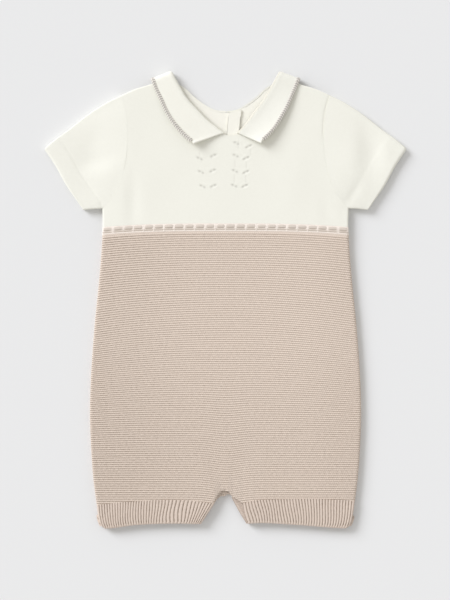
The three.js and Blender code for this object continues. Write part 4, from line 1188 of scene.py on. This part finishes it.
# %% Sleeves
SLEEVE_LENGTH = 84.0
SLEEVE_ROUND = 2 * ARMHOLE_LENGTH
CUFF_DEPTH = 16.0
HEM_SHOWN = {"left": 17.5, "right": 21.5}
CUFF_STEP = {"left": 0.3, "right": 0.2}
for name, sign in (("left", -1), ("right", 1)):
    armhole, cuff = line(on_side(sign, ARMHOLE)), line(on_side(sign, CUFF))
    top_line, under_line = line(on_side(sign, SLEEVE_TOP)), line(on_side(sign, UNDERARM))
    hem_start = 1 - CUFF_DEPTH / SLEEVE_LENGTH
    out = np.concatenate([np.linspace(0, 0.985, 84), [0.992, 0.997, 1.0]])
    down = steps(84, ARMHOLE_LENGTH, True, True)
    flat = patch(lambda v: armhole(1 - v) + np.array([sign * SEAM_SHOWN / 2, 0]), lambda v: cuff(1 - v),
                 under_line, top_line, out, down)
    front = np.swapaxes(drape(flat, 1), 0, 1)
    back = np.swapaxes(drape(flat, -1), 0, 1)
    front[:, [0, -1], 2] -= SEAM / 2
    ring = np.concatenate([front, back[:, 1:-1][:, ::-1]], 1)
    normal = facing(ring, 1, ring=True)
    x, y = ring[..., 0], ring[..., 1]
    from_cuff = distance_to(cuff(np.linspace(0, 1, 40)), ring[..., :2], 40) - HEM_SHOWN[name]
    clear = smoothstep(172, 150, y) if sign < 0 else 1.0
    hem = smoothstep(2.5, -2.5, from_cuff)
    groove = (0.16 if sign < 0 else 0.03) * np.exp(-(from_cuff / 1.3) ** 2) * clear
    edge = -1.3 * np.clip((out - 0.968) / 0.032, 0, 1)[:, None] ** 2
    upper = np.zeros(ring.shape[1])
    upper[1:front.shape[1] - 1] = 1
    puff = 0.12 * wander(x, y, 45.0)
    calm = smoothstep(1, 9, distance_to(top_line(np.linspace(0, 1, 40)), ring[..., :2], 12))
    rise = (CUFF_STEP[name] * hem - groove + puff * calm) * upper + edge
    outer = ring + normal * rise[..., None]
    thick = np.where(out >= hem_start, CUFF_WALL, YOKE_WALL)[:, None, None]
    inner = ring - normal * thick
    length = (out * SLEEVE_LENGTH)[:, None]
    turn = np.linspace(0, SLEEVE_ROUND, ring.shape[1])[None]
    piece = skin(f"sleeve_{name}_knit", outer, inner, np.stack(np.broadcast_arrays(turn, length), -1),
                 ring=True)
    dress(piece, sleeve_knit)
    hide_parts(f"sleeve_{name}")
    print("sleeve", name, triangles(piece), "triangles")

# %% [markdown]
# ## Collar
# Each half of the collar is one strip that runs from the centre front over the shoulder to the
# centre back. It stands up inside the neck, rolls over and lies down outside. At the front the
# free ends do not touch the yoke: their points stand off it and throw the widest shadows. The
# right leaf's fold faces the sun, so its cream is set a little darker there, which keeps the
# fold as quiet as it is in the photo.

# %% Collar
TIPPING_WIDTH = 2.8
COLLAR_ROLL = 2.6
FOLD_ANGLES = [60, 30, 0, -30, -60]
radius = COLLAR_HEIGHT / 2


def stations(leaf, sign):
    """Rows across the strip: neck point, way out of the cloth, way to the edge, reach, lift."""
    rows = [(row, 90, 1 - k / (len(leaf) - 1)) for k, row in enumerate(leaf)]
    rows += [(SHOULDER_FOLD, angle, 0) for angle in FOLD_ANGLES]
    rows += [(row, -90, 0) for row in BACK_LEAF[:-1]]
    last = BACK_LEAF[-1]
    rows.append(((last[0] + sign * 0.6, last[1], last[2] + sign * 0.6, last[3]), -90, 0))
    found = []
    for (neck_x, neck_y, edge_x, edge_y), angle, lift in rows:
        phi = math.radians(angle)
        neck = np.array([sign * neck_x, neck_y, radius])
        run = np.array([sign * (edge_x - neck_x), edge_y - neck_y, 0.0])
        length = float(np.linalg.norm(run))
        out = np.array([sign * SHOULDER_SLOPE[0] * math.cos(phi),
                        SHOULDER_SLOPE[1] * math.cos(phi), math.sin(phi)])
        found.append((neck, out, run / length, length, lift, angle))
    return found


def leaf_point(at, reach, rise):
    return at[0] + at[2] * reach + at[1] * rise


def leaf_rise(at, reach):
    return radius + COLLAR_LIFT * at[4] * (reach / at[3]) ** 2


def refined(grid, along, across):
    """Finer grid on a smooth surface through a coarse one."""
    fine = spline(grid, along)
    return np.swapaxes(spline(np.swapaxes(fine, 0, 1), across), 0, 1)


stand = COLLAR_WALL + LAYER_GAP + YOKE_WALL
turned = (1 - math.sqrt(0.5)) * COLLAR_ROLL
rolled = [(0, radius - stand), (0, radius - COLLAR_ROLL), (turned, radius - turned),
          (COLLAR_ROLL, radius)]
collar_pieces = []
for name, leaf, sign in (("left", LEFT_LEAF, -1), ("right", RIGHT_LEAF, 1)):
    rows = stations(leaf, sign)
    coarse, edges = [], []
    for k, at in enumerate(rows):
        bare = k in (0, len(rows) - 1)
        end = at[3] - (0 if bare else TIPPING_WIDTH * 0.55)
        flat = [(end * q, leaf_rise(at, end * q)) for q in (0.3, 0.55, 0.8, 1.0)]
        coarse.append([leaf_point(at, *pair) for pair in rolled + flat])
        if not bare:
            middle = at[3] - TIPPING_WIDTH / 2
            edges.append(leaf_point(at, middle, leaf_rise(at, middle) - 0.35))
    outer = refined(np.array(coarse), 8, 5)
    x, y = outer[..., 0], outer[..., 1]
    normal = facing(outer, 1)
    share = np.linspace(0, 1, outer.shape[1])[None]
    rim = np.clip((share - 0.955) / 0.045, 0, 1)
    first_row = np.clip(1 - np.arange(outer.shape[0]) / 3.0, 0, 1)[:, None]
    relief = 0.10 * wander(x, y, 30.0) - 0.55 * rim ** 2 - 0.55 * first_row ** 2 * (share > 0.25)
    inner = outer - normal * COLLAR_WALL
    outer = outer + normal * relief[..., None]
    length = np.concatenate([[0], np.cumsum(np.linalg.norm(
        np.diff(outer[:, -8], axis=0), axis=1))])[:, None]
    flat_map = np.stack(np.broadcast_arrays(length, share * 36), -1)
    fold = (0.75 if sign > 0 else 0.0) * np.exp(-((share - 0.27) / 0.12) ** 2) + 0 * x
    piece = skin(f"collar_{name}_knit", outer, inner, flat_map, {"fold": fold})
    dress(piece, collar_knits[name])
    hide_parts(f"collar_{name}")
    outs = np.array([at[1] for at in rows[1:-1]])
    collar_pieces.append((piece, float(length[-1, 0]), np.array(edges), outs))
    print("collar", name, triangles(piece), "triangles,", round(float(length[-1, 0])), "mm long")

# %% [markdown]
# A fine grey-beige band edges the outer side of each leaf and stops short of its front corner.
# Its small stitches lie in a V on either side of a middle line, with painted shade between them
# and painted light on their tops.

# %% Edging
EDGING_HALF_WIDTH = 1.85
EDGING_HALF_HEIGHT = 1.0
EDGING_PITCH = 2.2
EDGING_STEP = 0.25
ROUND = 20
for (collar, length, edges, outs), name in zip(collar_pieces, ("left", "right")):
    dense = spline(edges, 40)
    travelled = np.concatenate([[0], np.cumsum(np.linalg.norm(np.diff(dense, axis=0), axis=1))])
    count = int(travelled[-1] / EDGING_STEP)
    q = np.linspace(0, travelled[-1], count)
    path = np.stack([np.interp(q, travelled, dense[:, k]) for k in range(3)], -1)
    ahead = np.gradient(path, axis=0)
    ahead /= np.linalg.norm(ahead, axis=1, keepdims=True)
    out = spline(outs, 40)
    out = np.stack([np.interp(q, travelled, out[:, k]) for k in range(3)], -1)
    out -= ahead * (out * ahead).sum(1, keepdims=True)
    out /= np.linalg.norm(out, axis=1, keepdims=True)
    sideways = np.cross(ahead, out)
    around = np.linspace(0, 2 * np.pi, ROUND + 1)[:-1][None]
    across = np.abs(np.cos(around))
    hump = np.abs(np.sin(np.pi * (q[:, None] / EDGING_PITCH + 0.55 * across))) ** 0.8
    crown = hump * (1 - 0.5 * np.exp(-(across / 0.2) ** 2))
    taper = np.clip(np.minimum(q, q[-1] - q) / 1.2 + 0.35, 0, 1)[:, None]
    swollen = taper * (1 + 0.30 * (crown - 0.6))
    wide = (EDGING_HALF_WIDTH * swollen * np.cos(around))[..., None]
    high = (EDGING_HALF_HEIGHT * swollen * np.sin(around))[..., None]
    tube = path[:, None] + sideways[:, None] * wide + out[:, None] * high
    tube[..., 2] = np.maximum(tube[..., 2], 0.0)
    points = (tube * MM).reshape(-1, 3).tolist()
    j = np.arange(ROUND)
    i = np.arange(count - 1)[:, None] * ROUND
    n = (j + 1) % ROUND
    faces = np.stack([i + j, i + ROUND + j, i + ROUND + n, i + n], -1).reshape(-1, 4).tolist()
    faces += [j.tolist(), ((count - 1) * ROUND + j[::-1]).tolist()]
    maps = np.stack(np.broadcast_arrays(around * EDGING_HALF_WIDTH, q[:, None]), -1).reshape(-1, 2)
    mesh = bpy.data.meshes.new(f"edging_{name}_cord")
    mesh.from_pydata(points, [], faces)
    where = np.zeros(len(mesh.loops), int)
    mesh.loops.foreach_get("vertex_index", where)
    mesh.uv_layers.new(name="stitches").data.foreach_set("uv", maps[where].ravel())
    # painted light on each stitch's top, painted shade between the stitches
    mesh.attributes.new("stitch", "FLOAT", "POINT").data.foreach_set(
        "value", (crown ** 1.2).ravel().astype(np.float32))
    mesh.shade_smooth()
    cord = bpy.data.objects.new(f"edging_{name}_cord", mesh)
    bpy.context.scene.collection.objects.link(cord)
    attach(cord, "root")
    dress(cord, edging_yarn)
    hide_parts(f"tipping_{name}")
    print("edging", name, triangles(cord), "triangles,", round(float(travelled[-1])), "mm long")

# %% [markdown]
# ## Triangles shown
# The count of triangles in every mesh that is shown.

# %% Triangles shown
total = sum(triangles(o) for o in bpy.data.objects if o.type == "MESH" and not o.hide_render)
print("triangles shown:", total)
